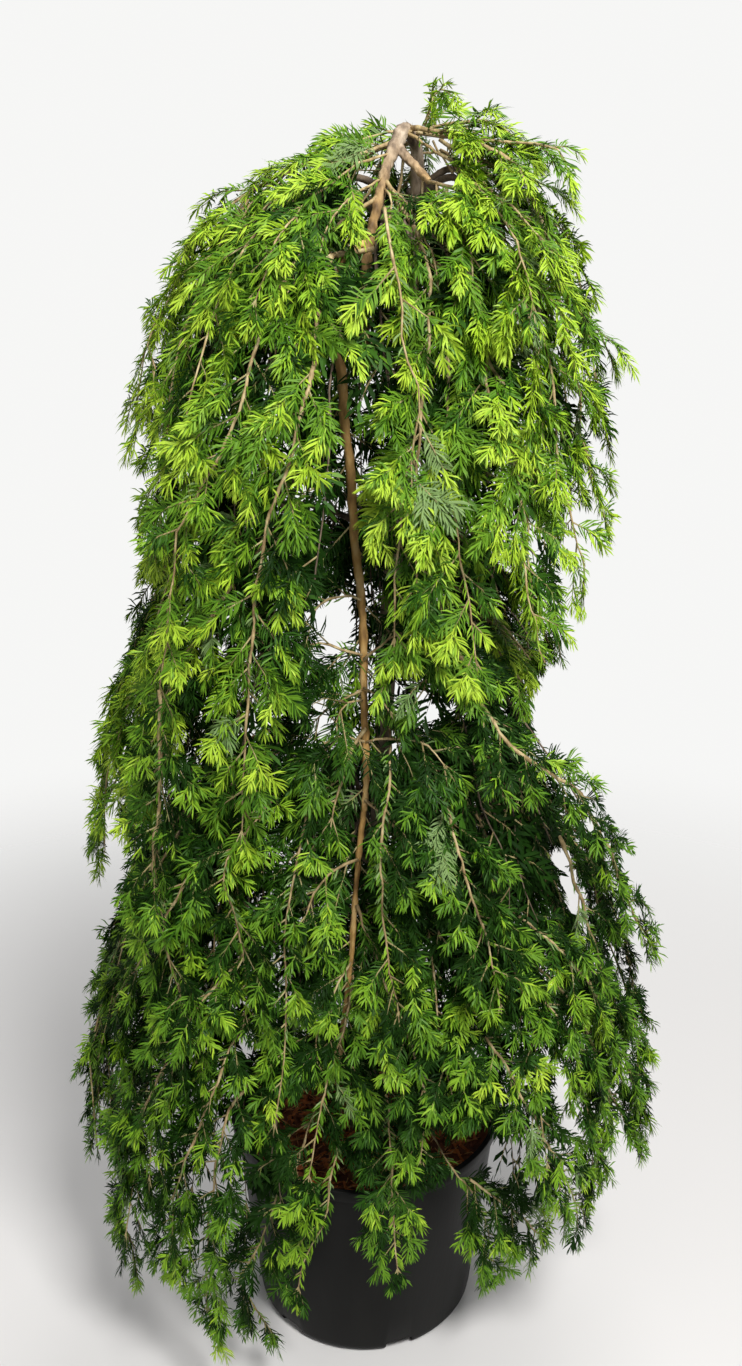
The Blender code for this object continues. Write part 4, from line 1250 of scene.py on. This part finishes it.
def hanging_knots(curtain, depth, offset):
    """Knots of a strand at an offset across a curtain and a depth in it, fanning out as it falls."""
    reach = FOOT_REACH[curtain.tier] - offset**2 * 0.9 - dice.uniform(0.0, 0.20)
    start = dice.uniform(*STRAND_START[curtain.tier])
    if curtain.tier == "upper" and abs(curtain.bearing) < ARCH_BEARING:
        start += ARCH_ROOM
    knots = []
    for t in np.linspace(start, reach, CURTAIN_KNOTS):
        fan = min(1.0, 0.30 + t / 0.40)
        place = curtain.centre(t) + curtain.across * (offset * curtain.width * fan)
        place += curtain.outward(t) * (depth * curtain.thickness * min(1.0, 0.2 + 2.5 * t))
        knots.append(place + Vector(dice.normal(0.0, 0.004, 3)))
    return knots


for curtain in curtains.values():
    for layer, depth in LAYER_DEPTHS.items():
        count = max(2, round(curtain.width / STRAND_GAP[curtain.tier]))
        for number in range(count):
            offset = ((number + 0.5) / count - 0.5) * CURTAIN_SPREAD + dice.uniform(-0.05, 0.05)
            route = keep_in_place(smooth_route(hanging_knots(curtain, depth, offset)))
            hiding = [step for step, point in enumerate(route) if stands_before(point, only=OPENINGS)]
            route = route[:hiding[0]] if hiding else route
            if len(route) < SHORTEST_ROUTE or (layer == "outer" and beside_hand_strand(route)):
                continue
            name = f"{curtain.name}_{layer}_{number}"
            strands.append(Strand(name, route, STRAND_RADIUS, layer, curtain.tier))
total = sum(strand.length for strand in strands)
print("strands:", len(strands), "with", round(total, 1), "m of stem")

# %% [markdown]
# Nothing may grow wherever it likes. A twig is kept only where the frame's masses allow it, so that
# the crown keeps its outline and the gaps between curtains stay open. The masses are put together
# in one search tree, which answers how far any point stands outside the nearest of them.

# %% Where foliage may be
ROOM_PROUD = {
    "hand": 0.018, "outer": 0.004, "inner": -0.002, "behind": 0.0, "window": 0.12, "leader": 0.12,
}
ROOM_BY_STRAND = 0.014
BOX_ROOM = 0.004

mass_corners, mass_faces = [], []
for name in mass_nodes:
    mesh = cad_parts[name].data
    start = len(mass_corners)
    mass_corners += [vert.co.copy() for vert in mesh.vertices]
    mass_faces += [[start + index for index in face.vertices] for face in mesh.polygons]
crown = BVHTree.FromPolygons(mass_corners, mass_faces)


def in_box(point):
    """Whether a point keeps inside the frame's own box."""
    edges = zip(cad_low, point, cad_high)
    return all(low + BOX_ROOM < value < high - BOX_ROOM for low, value, high in edges)


def proud(point):
    """How far a point stands outside the nearest mass. Negative is inside."""
    place, normal, _, distance = crown.find_nearest(Vector(point))
    return distance if (Vector(point) - place).dot(normal) > 0.0 else -distance


print("room for foliage from", len(mass_faces), "triangles")

# %% [markdown]
# Side twigs leave a strand left and right by turns, about two centimetres apart, at a wide angle
# that their own weight then closes. The rule stays the same for the next order, only shorter: a long
# twig carries two or three little ones, and where it grew well a fan of short new shoots spreads
# from its end. All lengths and angles come from the seeded dice, so every run grows the same plant.

# %% The branching rule: how close, how long, how wide
TWIG_PITCH = {
    # layer: pitch in each tier
    "hand": {"sprig": 0.0040, "top": 0.0150, "upper": 0.0200, "middle": 0.0180, "lower": 0.0138},
    "outer": {"upper": 0.0230, "middle": 0.0210, "lower": 0.0162},
    "inner": {"upper": 0.0290, "middle": 0.0270, "lower": 0.0230},
    "behind": {"upper": 0.0170},
    "window": {"middle": 0.0120},
    "leader": {"middle": 0.0240},
}
TWIG_LENGTH = {
    "sprig": (0.012, 0.024), "top": (0.036, 0.060), "upper": (0.050, 0.080),
    "middle": (0.046, 0.072), "lower": (0.036, 0.060),
}
FAN_SHARE = {"sprig": 0.0, "top": 0.0, "upper": 0.05, "middle": 0.30, "lower": 0.85}
FAN_LENGTH = (0.013, 0.020)
TWIG_ANGLE = (36.0, 60.0)
SUB_TWIG_ANGLE = (28.0, 46.0)
FALL = 0.50
DOWN = np.array((0.0, 0.0, -1.0))
TWIG_OFF_FLOOR = 0.018
TWIG_PAST_POT = 0.158
TRIES = 4
SHORTER = 0.76
SHORTEST_TWIG = 0.009
FORKS_FROM = 0.034
FORKS_THRICE_FROM = 0.048
FORK_SHARES = (0.26, 0.46, 0.64)
END_SPREAD = (-0.5, 0.0, 0.5)
GROWING_ALONG = ((0.0, 0.12, 0.7, 1.0), (0.7, 1.0, 0.95, 0.75))
print("side twigs of the outer layer:", TWIG_PITCH["outer"])

# %% The branching rule: one twig
# A twig: start, bend, end, the way its flat side faces, length, layer, tier, order, the twig it grew from
twigs = []


def add_twig(start, heading, face, length, layer, tier, order, room, own_name, parent=-1):
    """Adds one drooping twig if there is room for it, shortening it first. Returns it, or None."""
    heading = heading / np.linalg.norm(heading)
    fallen = heading * (1.0 - FALL) + DOWN * FALL
    fallen /= np.linalg.norm(fallen)
    for _ in range(TRIES):
        bend = start + heading * length * 0.52
        end = bend + fallen * length * 0.50
        by_pot = end[2] < ABOVE_RIM and math.hypot(end[0], end[1]) < TWIG_PAST_POT
        blocked = by_pot or end[2] < TWIG_OFF_FLOOR
        if not blocked and in_box(end) and in_box(bend) and proud(end) < room:
            break
        length *= SHORTER
    else:
        return None
    if length < SHORTEST_TWIG or stands_before(end, own_name) or stands_before(bend, own_name):
        return None
    twig = (start, bend, end, face, length, layer, tier, order, parent)
    twigs.append(twig)
    return twig


print("helper ready: drooping twigs, after", TRIES, "tries at most")


# %% The branching rule: strands, forks and fans
def grow_strand(strand):
    """Side twigs all along a strand, left and right by turns, and three more at its tip."""
    pitch = TWIG_PITCH[strand.layer][strand.tier]
    room = ROOM_PROUD[strand.layer]
    kind = (strand.layer, strand.tier)
    place = pitch * dice.uniform(0.3, 1.2)
    last_place = 0.0
    side = 1.0 if dice.random() < 0.5 else -1.0
    shortest, longest = TWIG_LENGTH[strand.tier]
    while place < strand.length - 0.004:
        towards_tip = place / strand.length
        start, index = strand.between(towards_tip * (len(strand.route) - 1))
        tangent, outward, across = strand.tangent[index], strand.outward[index], strand.across[index]
        angle = math.radians(dice.uniform(*TWIG_ANGLE))
        out = dice.normal(0.02 if strand.tier == "top" else 0.16, 0.22)
        heading = tangent * math.cos(angle) + across * side * math.sin(angle) + outward * out
        length = dice.uniform(shortest, longest) * np.interp(towards_tip, *GROWING_ALONG)
        face = outward + across * dice.normal(0.0, 0.32) + tangent * dice.normal(0.0, 0.15)
        room_here = max(room, proud(start) + ROOM_BY_STRAND) if strand.layer == "hand" else room
        twig = add_twig(start, heading, face, length, *kind, 1, room_here, strand.name)
        if twig is not None:
            number = len(twigs) - 1
            if twig[4] > FORKS_FROM:
                grow_sub_twigs(twig, number, room_here, strand.name)
            if strand.layer != "inner" and dice.random() < FAN_SHARE[strand.tier]:
                grow_fan(twig, number, room_here, strand.name)
            last_place = place
        side = -side
        place += pitch * dice.uniform(0.75, 1.25)
    if strand.layer == "leader":
        return
    if strand.layer in LAYER_DEPTHS:
        strand.cut_short(last_place + pitch * 0.5)
    tip = strand.route[-1]
    for spread in END_SPREAD:
        heading = strand.tangent[-1] + strand.across[-1] * spread
        length = dice.uniform(0.6, 0.8) * shortest
        room_here = max(room, proud(tip) + ROOM_BY_STRAND) if strand.layer == "hand" else room * 1.6
        add_twig(tip, heading, strand.outward[-1], length, *kind, 1, room_here, strand.name)


def grow_fan(twig, number, room, own_name):
    """Two or three short new twigs that spread from the end of a side twig."""
    _, bend, end, face, _, layer, tier = twig[:7]
    heading = unit(end - bend)
    lateral = unit(np.cross(heading, face))
    for side in (-1.0, 1.0, 0.2)[:dice.integers(2, 4)]:
        angle = math.radians(dice.uniform(30.0, 58.0)) * side
        aim = heading * math.cos(angle) + lateral * math.sin(angle) + face * dice.uniform(0.0, 0.5)
        foot = bend + (end - bend) * dice.uniform(0.35, 0.75)
        length = dice.uniform(*FAN_LENGTH)
        add_twig(foot, aim, face, length, layer, tier, 3, room + 0.01, own_name, number)


def grow_sub_twigs(twig, number, room, own_name):
    """Little twigs left and right of a side twig; a short one has two places for them, a long one three."""
    start, bend, end, face, length, layer, tier = twig[:7]
    left_out = 0.5 if layer == "inner" else 0.30 if tier in ("top", "upper") else 0.20
    side = 1.0 if dice.random() < 0.5 else -1.0
    for share in FORK_SHARES:
        if share > 0.5 and length < FORKS_THRICE_FROM:
            continue
        if dice.random() < left_out:
            side = -side
            continue
        place = start * (1 - share) ** 2 + bend * 2 * share * (1 - share) + end * share**2
        heading = (bend - start) * (1 - share) + (end - bend) * share
        heading /= np.linalg.norm(heading)
        lateral = np.cross(heading, face)
        lateral /= max(1e-6, np.linalg.norm(lateral))
        angle = math.radians(dice.uniform(*SUB_TWIG_ANGLE))
        aim = heading * math.cos(angle) + lateral * side * math.sin(angle) + face * dice.normal(0.05, 0.15)
        turned_face = face + lateral * dice.normal(0.0, 0.25)
        little = length * dice.uniform(0.36, 0.56)
        add_twig(place, aim, turned_face, little, layer, tier, 2, room, own_name, number)
        side = -side


for strand in strands:
    grow_strand(strand)
print("twigs by order:", [sum(1 for twig in twigs if twig[7] == order) for order in (1, 2, 3)])

# %% [markdown]
# All the stems are drawn from their routes as thin tapering tubes: six-sided for the strands at the
# front, four-sided for the others, and three-sided for the twigs, which are a millimetre thick. New
# wood is orange-tan, and a twig's own last growth is almost as green as its needles.

# %% Stems of the strands
STRAND_TIP_RADIUS = 0.0006
KNOB = 0.17
THIN_START = 9.0


def tube_wall(rings, sides):
    """Triangles between rings of corners that are numbered ring by ring."""
    faces = []
    for level in range(rings - 1):
        for k in range(sides):
            a, b = level * sides + k, level * sides + (k + 1) % sides
            faces += [(a, b, b + sides), (a, b + sides, a + sides)]
    return faces


def strand_tube(strand, sides, every):
    """Corners and triangles of one strand: rings along its route, closed at both ends."""
    steps = len(strand.route) - 1
    kept = np.unique(np.append(np.arange(0, steps + 1, every), steps))
    route, across, outward = strand.route[kept], strand.across[kept], strand.outward[kept]
    count = len(route)
    taper = np.linspace(1.0, 0.0, count) ** 0.8
    radius = STRAND_TIP_RADIUS + (strand.start_radius - STRAND_TIP_RADIUS) * taper
    if strand.name in from_inside:
        radius *= np.interp(np.arange(count), (0.0, THIN_START), (0.3, 1.0))
    radius *= 1.0 + KNOB * np.clip(dice.normal(0.0, 1.0, count), -1.2, 2.0)
    turns = np.arange(sides) * 2.0 * np.pi / sides
    ring = np.cos(turns)[None, :, None] * across[:, None] + np.sin(turns)[None, :, None] * outward[:, None]
    corners = route[:, None] + ring * radius[:, None, None]
    corners = np.concatenate([corners.reshape(-1, 3), route[:1], route[-1:] + strand.tangent[-1:] * 0.001])
    faces = tube_wall(count, sides)
    foot, tip, last = count * sides, count * sides + 1, (count - 1) * sides
    for k in range(sides):
        faces.append((foot, (k + 1) % sides, k))
        faces.append((tip, last + k, last + (k + 1) % sides))
    return corners, np.array(faces)


def join_tubes(name, layers, sides, every):
    """The stems of all strands in these layers as one piece, with a ring at every so many points."""
    corners, faces, start = [], [], 0
    for strand in strands:
        if strand.layer not in layers:
            continue
        tube_corners, tube_faces = strand_tube(strand, sides, every)
        corners.append(tube_corners)
        faces.append(tube_faces + start)
        start += len(tube_corners)
    return joined_mesh(name, np.concatenate(corners), np.concatenate(faces), smooth=True)


strand_bark = mottled(
    "strand_bark",
    ((0.190, 0.120, 0.045), (0.430, 0.310, 0.140), (0.640, 0.520, 0.280)),
    scale=150.0, roughness=(0.60, 0.80), bump=0.6, stretch=(1.0, 1.0, 0.5), bump_scale=600.0,
)
STEM_PIECES = (
    # piece, layers of strands, sides, every so many points, bark, slot
    ("strand_stems_front", ("hand", "behind", "window"), 6, 1, strand_bark, "young_bark"),
    ("strand_stems_outer", ("outer",), 4, 2, strand_bark, "young_bark"),
    ("strand_stems_inner", ("inner",), 4, 2, inner_bark, "bark"),
)
for name, layers, sides, every, bark, slot in STEM_PIECES:
    stems = finish_piece(join_tubes(name, layers, sides, every), bark)
    print(name, len(stems.data.polygons), "triangles")

# %% [markdown]
# From here on there are too many twigs to go through one by one, so the list is turned into arrays,
# with a row for each twig. A twig's tube has one or two rings of three corners and a point at its
# end, and the same few triangles serve them all.

# %% Stems of the twigs
start, bend, end, face = (np.array([twig[k] for twig in twigs], float) for k in range(4))
length = np.array([twig[4] for twig in twigs])
layer_of = np.array([twig[5] for twig in twigs])
tier_of = np.array([twig[6] for twig in twigs])
order_of = np.array([twig[7] for twig in twigs])
parent_of = np.array([twig[8] for twig in twigs])
TWIG_RADIUS = 0.00062
TWIG_CORNERS = (0.5, 2.6, 4.7)
TWIG_POINT = 0.97


def on_twig(rows, t):
    """Points and headings at share t along the chosen twigs."""
    t = t[:, None]
    place = start[rows] * (1 - t) ** 2 + bend[rows] * 2 * t * (1 - t) + end[rows] * t**2
    heading = unit((bend[rows] - start[rows]) * (1 - t) + (end[rows] - bend[rows]) * t)
    return place, heading


def twig_tubes(name, rows, ring_shares):
    """Three-sided tubes for the chosen twigs, with a ring at each share and a point at the end."""
    rings = []
    for t in ring_shares:
        place, heading = on_twig(rows, np.full(len(rows), t))
        side = unit(np.cross(heading, face[rows]))
        up = np.cross(side, heading)
        thick = TWIG_RADIUS * (1.25 - 0.75 * t) * np.where(order_of[rows] == 1, 1.15, 0.8)
        for turn in TWIG_CORNERS:
            rings.append(place + (side * math.cos(turn) + up * math.sin(turn)) * thick[:, None])
    rings.append(on_twig(rows, np.full(len(rows), TWIG_POINT))[0])
    shape = [(0, 2, 1)] + tube_wall(len(ring_shares), 3)
    last = 3 * (len(ring_shares) - 1)
    shape += [(last + k, last + (k + 1) % 3, last + 3) for k in range(3)]
    corners, faces = copies(rings, np.array(shape), np.stack(rings, 1))
    return joined_mesh(name, corners, faces, smooth=True)


twig_tan = mottled(
    "twig_tan",
    ((0.200, 0.140, 0.055), (0.340, 0.270, 0.110), (0.420, 0.380, 0.170)),
    scale=60.0, roughness=(0.60, 0.75), bump=0.2,
)
twig_green = mottled(
    "twig_green",
    ((0.120, 0.150, 0.030), (0.210, 0.250, 0.050), (0.290, 0.330, 0.080)),
    scale=60.0, roughness=(0.55, 0.70), bump=0.2,
)
first_order = np.flatnonzero(order_of == 1)
second_order = np.flatnonzero(order_of > 1)
finish_piece(twig_tubes("side_twigs", first_order, (0.0, 0.50)), twig_tan)
finish_piece(twig_tubes("little_twigs", second_order, (0.0,)), twig_green)
print("twig stems for", len(first_order), "side twigs and", len(second_order), "little ones")

# %% [markdown]
# Hemlock needles are flat, a centimetre or so long, and grow close together all along a twig. The
# newest are yellow-green, last year's are darker, and the undersides are pale. Those tones are dealt
# out by spray, with painted shade over them: the more foliage covers a twig's end from the light, the
# darker its tones, the lower tier and the inner layers are darkened further, and a little twig mostly
# takes after the one it grew from. Each tone goes to a joined piece of its own.

# %% Needles: which tone a spray has, and its painted shade
TONES = ("tip", "young", "summer", "old", "shade", "underside")
YOUNG, SUMMER, SHADE, UNDERSIDE = 1, 2, 4, 5
# The share of twigs with new growth at their ends: side twigs, then little ones. The lower tier's
# smaller shares are partly painted shade, which darkens the skirt.
NEW_GROWTH = {
    "sprig": (1.0, 1.0), "top": (0.90, 0.75), "upper": (0.85, 0.75), "middle": (0.80, 0.60),
    "lower": (0.60, 0.35),
}
# The share of such a twig that is new; the lower tier's smaller share is partly painted shade too
NEW_SHARE = {"sprig": 0.55, "top": 0.50, "upper": 0.52, "middle": 0.44, "lower": 0.34}
FAN_CHANGES_AT = 0.1
LIKE_PARENT = 0.85
OLDER_BY_TWO = 0.45
PALE_SHARE = 0.035
# Painted shade: the cover at which each tone gives way to a darker one, and the cover that a tier and
# a layer add to darken them further
COVER_STEPS = (0.008, 0.018, 0.032, 0.052)
PAINTED_SHADE_BY_TIER = {"sprig": 0.0, "top": 0.0, "upper": -0.001, "middle": 0.002, "lower": 0.020}
PAINTED_SHADE_BY_LAYER = {
    "hand": 0.0, "outer": 0.0, "inner": 0.030, "behind": 0.022, "window": 0.016, "leader": 0.008,
}
LIGHT_OUT = 0.9
LIGHT_LEAN = Vector((0.0, -0.15, 0.42))
COVER_REACH = 0.4
COVER_LAYERS = 5


def cover(point):
    """How much foliage lies between a point and the light that comes from outside and above; the needle tones
    take it as painted shade.
    """
    at = Vector(point)
    out = Vector((at.x, at.y, 0.0)).normalized() * LIGHT_OUT + LIGHT_LEAN
    out.normalize()
    inside = proud(at) < 0.0
    total = 0.0
    for _ in range(COVER_LAYERS):
        hit, _, _, travelled = crown.ray_cast(at + out * 0.0002, out, COVER_REACH)
        if hit is None:
            break
        if inside:
            total += travelled
        inside = not inside
        at = hit
    return total


def twig_tones_with_painted_shade():
    """For every twig: the tone of its older part, of its newest part, and the share where that begins. Both
    tones are darkened as painted shade by the cover over the twig's end, its tier and its layer.
    """
    count = len(twigs)
    luck, second = dice.random(count), dice.random(count)
    # painted shade: the cover over the twig's end, with its tier's and its layer's share, sets how dark both
    # tones are
    depth = np.array([cover(point) for point in end]) + dice.normal(0.0, 0.006, count)
    depth += np.array([PAINTED_SHADE_BY_TIER[tier] + PAINTED_SHADE_BY_LAYER[layer] for tier, layer in zip(tier_of, layer_of)])
    draw = dice.random(count)
    grown = np.flatnonzero((parent_of >= 0) & (dice.random(count) < LIKE_PARENT))
    for values in (depth, draw, luck, second):
        values[grown] = values[parent_of[grown]]
    newer = np.searchsorted(COVER_STEPS, depth)
    # the older part is one or two tones darker than the new growth, and one more in the lower tier as painted
    # shade
    older = newer + np.where(second > OLDER_BY_TWO, 2, 1) + (tier_of == "lower")
    older = np.clip(older, SUMMER, SHADE)
    growing = np.array([NEW_GROWTH[tier][int(order > 1)] for tier, order in zip(tier_of, order_of)])
    growing = np.where(order_of == 3, 1.0, growing)
    newer = np.where(draw < growing, newer, older)
    change = 1.0 - np.array([NEW_SHARE[tier] for tier in tier_of]) * dice.uniform(0.65, 1.2, count)
    change = np.where(order_of == 3, FAN_CHANGES_AT, change)
    pale = (second < PALE_SHARE) & (newer < SHADE) & (order_of < 3)
    older = np.where(pale, UNDERSIDE, older)
    newer = np.where(pale & (luck < 0.5), UNDERSIDE, newer)
    return older, newer, change


older_tone_with_painted_shade, newer_tone_with_painted_shade, change_at = twig_tones_with_painted_shade()
print("tones of new growth:", {name: int((newer_tone_with_painted_shade == k).sum()) for k, name in enumerate(TONES)})

# %% [markdown]
# A needle is placed by its share of the way along a twig, which leaves the foot of a side twig bare
# and sets the needles closer towards its tip. The gap between two needles depends on the layer: the
# ones in view are the finest, and deep inside a few broad ones do, because only their shade is seen.

# %% Needles: where each one grows
NEEDLE_PITCH = {
    "hand": 0.00082, "outer": 0.00099, "inner": 0.00420, "behind": 0.00100, "window": 0.00090,
    "leader": 0.00090,
}
NEEDLE_LENGTH = {"sprig": 0.0125, "top": 0.0145, "upper": 0.0160, "middle": 0.0152, "lower": 0.0132}
INNER_LENGTH = 1.25
BARE_FOOT = (0.10, 0.04)
TOWARDS_TIP = 0.75
LAST_NEEDLE = 0.995
FEWEST_NEEDLES = 6

reach = np.array([NEEDLE_LENGTH[t] for t in tier_of]) * dice.uniform(0.88, 1.12, len(twigs))
reach = np.where(layer_of == "inner", reach * INNER_LENGTH, reach)
pitch = np.array([NEEDLE_PITCH[name] for name in layer_of])
bare = np.where(order_of == 1, *BARE_FOOT)
per_twig = np.maximum(FEWEST_NEEDLES, (length * (1.0 - bare) / pitch)).astype(int)
rows = np.repeat(np.arange(len(twigs)), per_twig)
first = np.concatenate([[0], np.cumsum(per_twig)[:-1]])
turn_number = np.arange(len(rows)) - np.repeat(first, per_twig)
share = (turn_number + dice.uniform(0.2, 0.8, len(rows))) / per_twig[rows]
share = bare[rows] + (1.0 - bare[rows]) * share ** TOWARDS_TIP
share = np.minimum(share, LAST_NEEDLE)
foot, heading = on_twig(rows, share)
side = np.where(turn_number % 2 == 0, 1.0, -1.0)
print("needles on twigs:", len(rows))

# %% [markdown]
# On a twig the needles stand in two ranks like the barbs of a feather, wide at its foot and leaning
# forward at its tip. New growth isn't combed flat yet and spreads into a tuft, and a few short
# needles lie forward along the top.

# %% Needles: which way each one points
NEEDLE_ANGLE = ((0.0, 0.5, 0.9, 1.0), (62.0, 52.0, 38.0, 14.0))
NEEDLE_GROWTH = ((0.0, 0.15, 0.75, 1.0), (0.62, 1.0, 0.95, 0.70))
ANGLE_SPREAD = 9.0
ON_TOP_SHARE = 0.13
TURN_ON_TOP, TURN_IN_RANK = 25.0, 83.0
RANK_SPREAD = 14.0
TUFT_SPREAD = 42.0
WEIGHT = 0.12
STRAY_DARKER, STRAY_LIGHTER = 0.10, 0.92
lateral = unit(np.cross(heading, face[rows]))
upright = np.cross(lateral, heading)
angle = np.radians(np.interp(share, *NEEDLE_ANGLE) + dice.normal(0.0, ANGLE_SPREAD, len(rows)))
newest = (share > change_at[rows]) & (layer_of[rows] != "inner")
on_top = dice.random(len(rows)) < ON_TOP_SHARE
angle = np.where(on_top, angle * 0.5, angle)
spread = np.where(newest, TUFT_SPREAD, RANK_SPREAD)
turned = np.where(on_top, TURN_ON_TOP, TURN_IN_RANK) + dice.normal(0.0, 1.0, len(rows)) * spread
turned = np.radians(turned)
around = lateral * (side * np.sin(turned))[:, None] + upright * np.cos(turned)[:, None]
aim = heading * np.cos(angle)[:, None] + around * np.sin(angle)[:, None]
aim[:, 2] -= WEIGHT
aim = unit(aim)
needle_reach = reach[rows] * np.interp(share, *NEEDLE_GROWTH) * dice.uniform(0.84, 1.10, len(rows))
needle_reach = np.where(on_top, needle_reach * 0.7, needle_reach)
tone = np.where(share > change_at[rows], newer_tone_with_painted_shade[rows], older_tone_with_painted_shade[rows])
# a few needles of each spray stray to the neighbouring tone, so that the change isn't a line
stray = dice.random(len(rows))
tone = np.where((stray < STRAY_DARKER) & (tone < SHADE), tone + 1, tone)
tone = np.where((stray > STRAY_LIGHTER) & (tone > 0) & (tone < UNDERSIDE), tone - 1, tone)
print("needles by tone:", {name: int((tone == k).sum()) for k, name in enumerate(TONES)})

# %% [markdown]
# Five corners and three triangles make a blade: a narrow foot, a wide middle where it bends, and a
# tip that sweeps forward and droops. A real needle ends blunt, but from a metre away the fifth
# corner does for its end. Each blade is twisted a little, so that a spray glitters unevenly.

# %% Needles: shape
BEND_AT = 0.62
SWEEP = 0.42
DROOP = 0.16
TWIST = 0.34
FOOT_WIDTH = 0.7


def blade_line(foot, aim, forward, reach):
    """Where each needle bends and where it ends: it leaves its twig wide, then sweeps forward and droops."""
    bend = foot + aim * reach[:, None] * BEND_AT
    swept = aim + forward * SWEEP
    swept[:, 2] -= DROOP
    return bend, bend + unit(swept) * reach[:, None] * (1.0 - BEND_AT)


def blades(foot, aim, forward, upright, reach, width):
    """Corners and triangles of one blade for each row: a narrow foot, a wide middle and a pointed tip."""
    twist = dice.normal(0.0, TWIST, len(foot))[:, None]
    flat = unit(np.cross(aim, upright))
    normal = np.cross(flat, aim)
    flat = flat * np.cos(twist) + normal * np.sin(twist)
    half = (width * 0.5)[:, None]
    bend, tip = blade_line(foot, aim, forward, reach)
    outline = [foot - flat * half * FOOT_WIDTH, foot + flat * half * FOOT_WIDTH]
    outline += [bend - flat * half, bend + flat * half, tip]
    shape = np.array([(0, 1, 3), (0, 3, 2), (2, 3, 4)])
    return copies(outline, shape, np.stack(outline, 1))


# From tip to shade the tones are also lit and shaded copies of one needle colour: old is old needles' green
# darkened by painted shade, shade is painted shade alone, and the shine falls with them.
NEEDLE_COLOURS = {
    # tone: the darker and the lighter colour that it wanders between, and how much it shines
    "tip": ((0.290, 0.465, 0.020), (0.420, 0.590, 0.040), 0.26),
    "young": ((0.155, 0.315, 0.012), (0.255, 0.430, 0.022), 0.24),
    "summer": ((0.072, 0.180, 0.008), (0.125, 0.262, 0.013), 0.20),
    "old": ((0.020, 0.072, 0.004), (0.040, 0.114, 0.007), 0.14),
    "shade": ((0.006, 0.024, 0.002), (0.013, 0.042, 0.004), 0.06),
    "underside": ((0.130, 0.225, 0.062), (0.210, 0.310, 0.105), 0.20),
}
needle_finish = {}
for name, (*colours, shine) in NEEDLE_COLOURS.items():
    needle_finish[name] = mottled(
        "needle_" + name, colours, scale=26.0, roughness=(0.46, 0.62), detail=2.0, shine=shine)
print("needle finishes:", ", ".join(needle_finish))

# %% [markdown]
# Strands carry needles of their own between the twigs, pointing down and out to the sides. A stem
# that should show gets fewer of them, and one deep inside gets fewest. Their rows are then added
# to those of the twigs.

# %% Needles on the strands themselves
STRAND_NEEDLE_GAP = {"outer": 0.0042, "inner": 0.0070, "behind": 0.0042, "window": 0.0042, "hand": 0.0018}
BARE_NEEDLE_GAP = 0.0030
NEEDLE_WIDTH = {
    "hand": 0.00142, "outer": 0.00156, "inner": 0.00350, "behind": 0.00140, "window": 0.00135,
    "leader": 0.00135,
}
strand_rows = []
for strand in strands:
    if strand.layer == "leader":
        continue
    gap = BARE_NEEDLE_GAP if strand.name in BARE_STRANDS else STRAND_NEEDLE_GAP[strand.layer]
    count = int(strand.length / gap)
    at = np.sort(dice.uniform(0.04, 0.99, count)) * (len(strand.route) - 1)
    place, index = strand.between(at)
    sideways = np.where(dice.random(count) < 0.5, 1.0, -1.0) * dice.uniform(0.5, 1.1, count)
    aimed = (strand.tangent[index] * 0.9 + strand.across[index] * sideways[:, None]
             + strand.outward[index] * dice.normal(0.2, 0.35, count)[:, None])
    older_part = np.where(dice.random(count) < 0.4, UNDERSIDE, SUMMER)
    tones = np.where(at / len(strand.route) > 0.75, YOUNG, older_part)
    # painted shade: every needle on an inner strand takes the darkest, shade tone
    if strand.layer == "inner":
        tones = np.full(count, SHADE)
    size = NEEDLE_LENGTH[strand.tier] * dice.uniform(0.6, 0.95, count)
    outward, tangent = strand.outward[index], strand.tangent[index]
    strand_rows.append((place, unit(aimed), outward, tones, size, tangent))
added = [np.concatenate(column) for column in zip(*strand_rows)]
on_twigs = (foot, aim, upright, tone, needle_reach, heading)
foot, aim, upright, tone, needle_reach, forward = [np.concatenate(pair) for pair in zip(on_twigs, added)]
width = np.array([NEEDLE_WIDTH[layer] for layer in layer_of])[rows]
width = np.append(width, np.full(len(foot) - len(width), NEEDLE_WIDTH["hand"]))
width = width * dice.uniform(0.85, 1.15, len(foot))
print("all needles:", len(foot))

# %% [markdown]
# Last, the needles that would cross an opening or leave the box are dropped, and each tone becomes
# one joined mesh. A tone with more needles than a piece should hold is split by height, top first.

# %% Needles: one joined piece for each tone
MOST_TRIANGLES = 190_000
NEEDLE_TRIANGLES = 3
EDGE_ROOM = 0.0012
bends, ends = blade_line(foot, aim, forward, needle_reach)
low_edge, high_edge = np.array(cad_low) + EDGE_ROOM, np.array(cad_high) - EDGE_ROOM
kept = np.ones(len(foot), bool)
for places in (bends, ends):
    kept &= np.all((places > low_edge) & (places < high_edge), axis=1) & ~crosses_opening(places)
for number, name in enumerate(TONES):
    chosen = np.flatnonzero((tone == number) & kept)
    chosen = chosen[np.argsort(-foot[chosen, 2])]
    parts = max(1, math.ceil(len(chosen) * NEEDLE_TRIANGLES / MOST_TRIANGLES))
    for part, batch in enumerate(np.array_split(chosen, parts)):
        values = [rows[batch] for rows in (foot, aim, forward, upright, needle_reach, width)]
        corners, faces = blades(*values)
        piece = joined_mesh(f"needles_{name}_{part + 1}", corners, faces)
        stands_for = mass_nodes if name == "young" and part == 0 else ()
        finish_piece(piece, needle_finish[name], stands_for)
        print(piece.name, len(faces), "triangles")

# %% [markdown]
# Last comes the measuring. The plant's looks have to fit the imported part's box, which the tests
# above keep them in; here the shown pieces are counted with their triangles, and the largest is named.

# %% Measure and finish
shown = [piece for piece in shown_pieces() if piece.type == "MESH"]
sizes = {piece.name: sum(len(face.vertices) - 2 for face in piece.data.polygons) for piece in shown}
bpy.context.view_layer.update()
print("pieces:", len(shown), "triangles:", sum(sizes.values()))
print("largest piece:", max(sizes, key=sizes.get), max(sizes.values()))
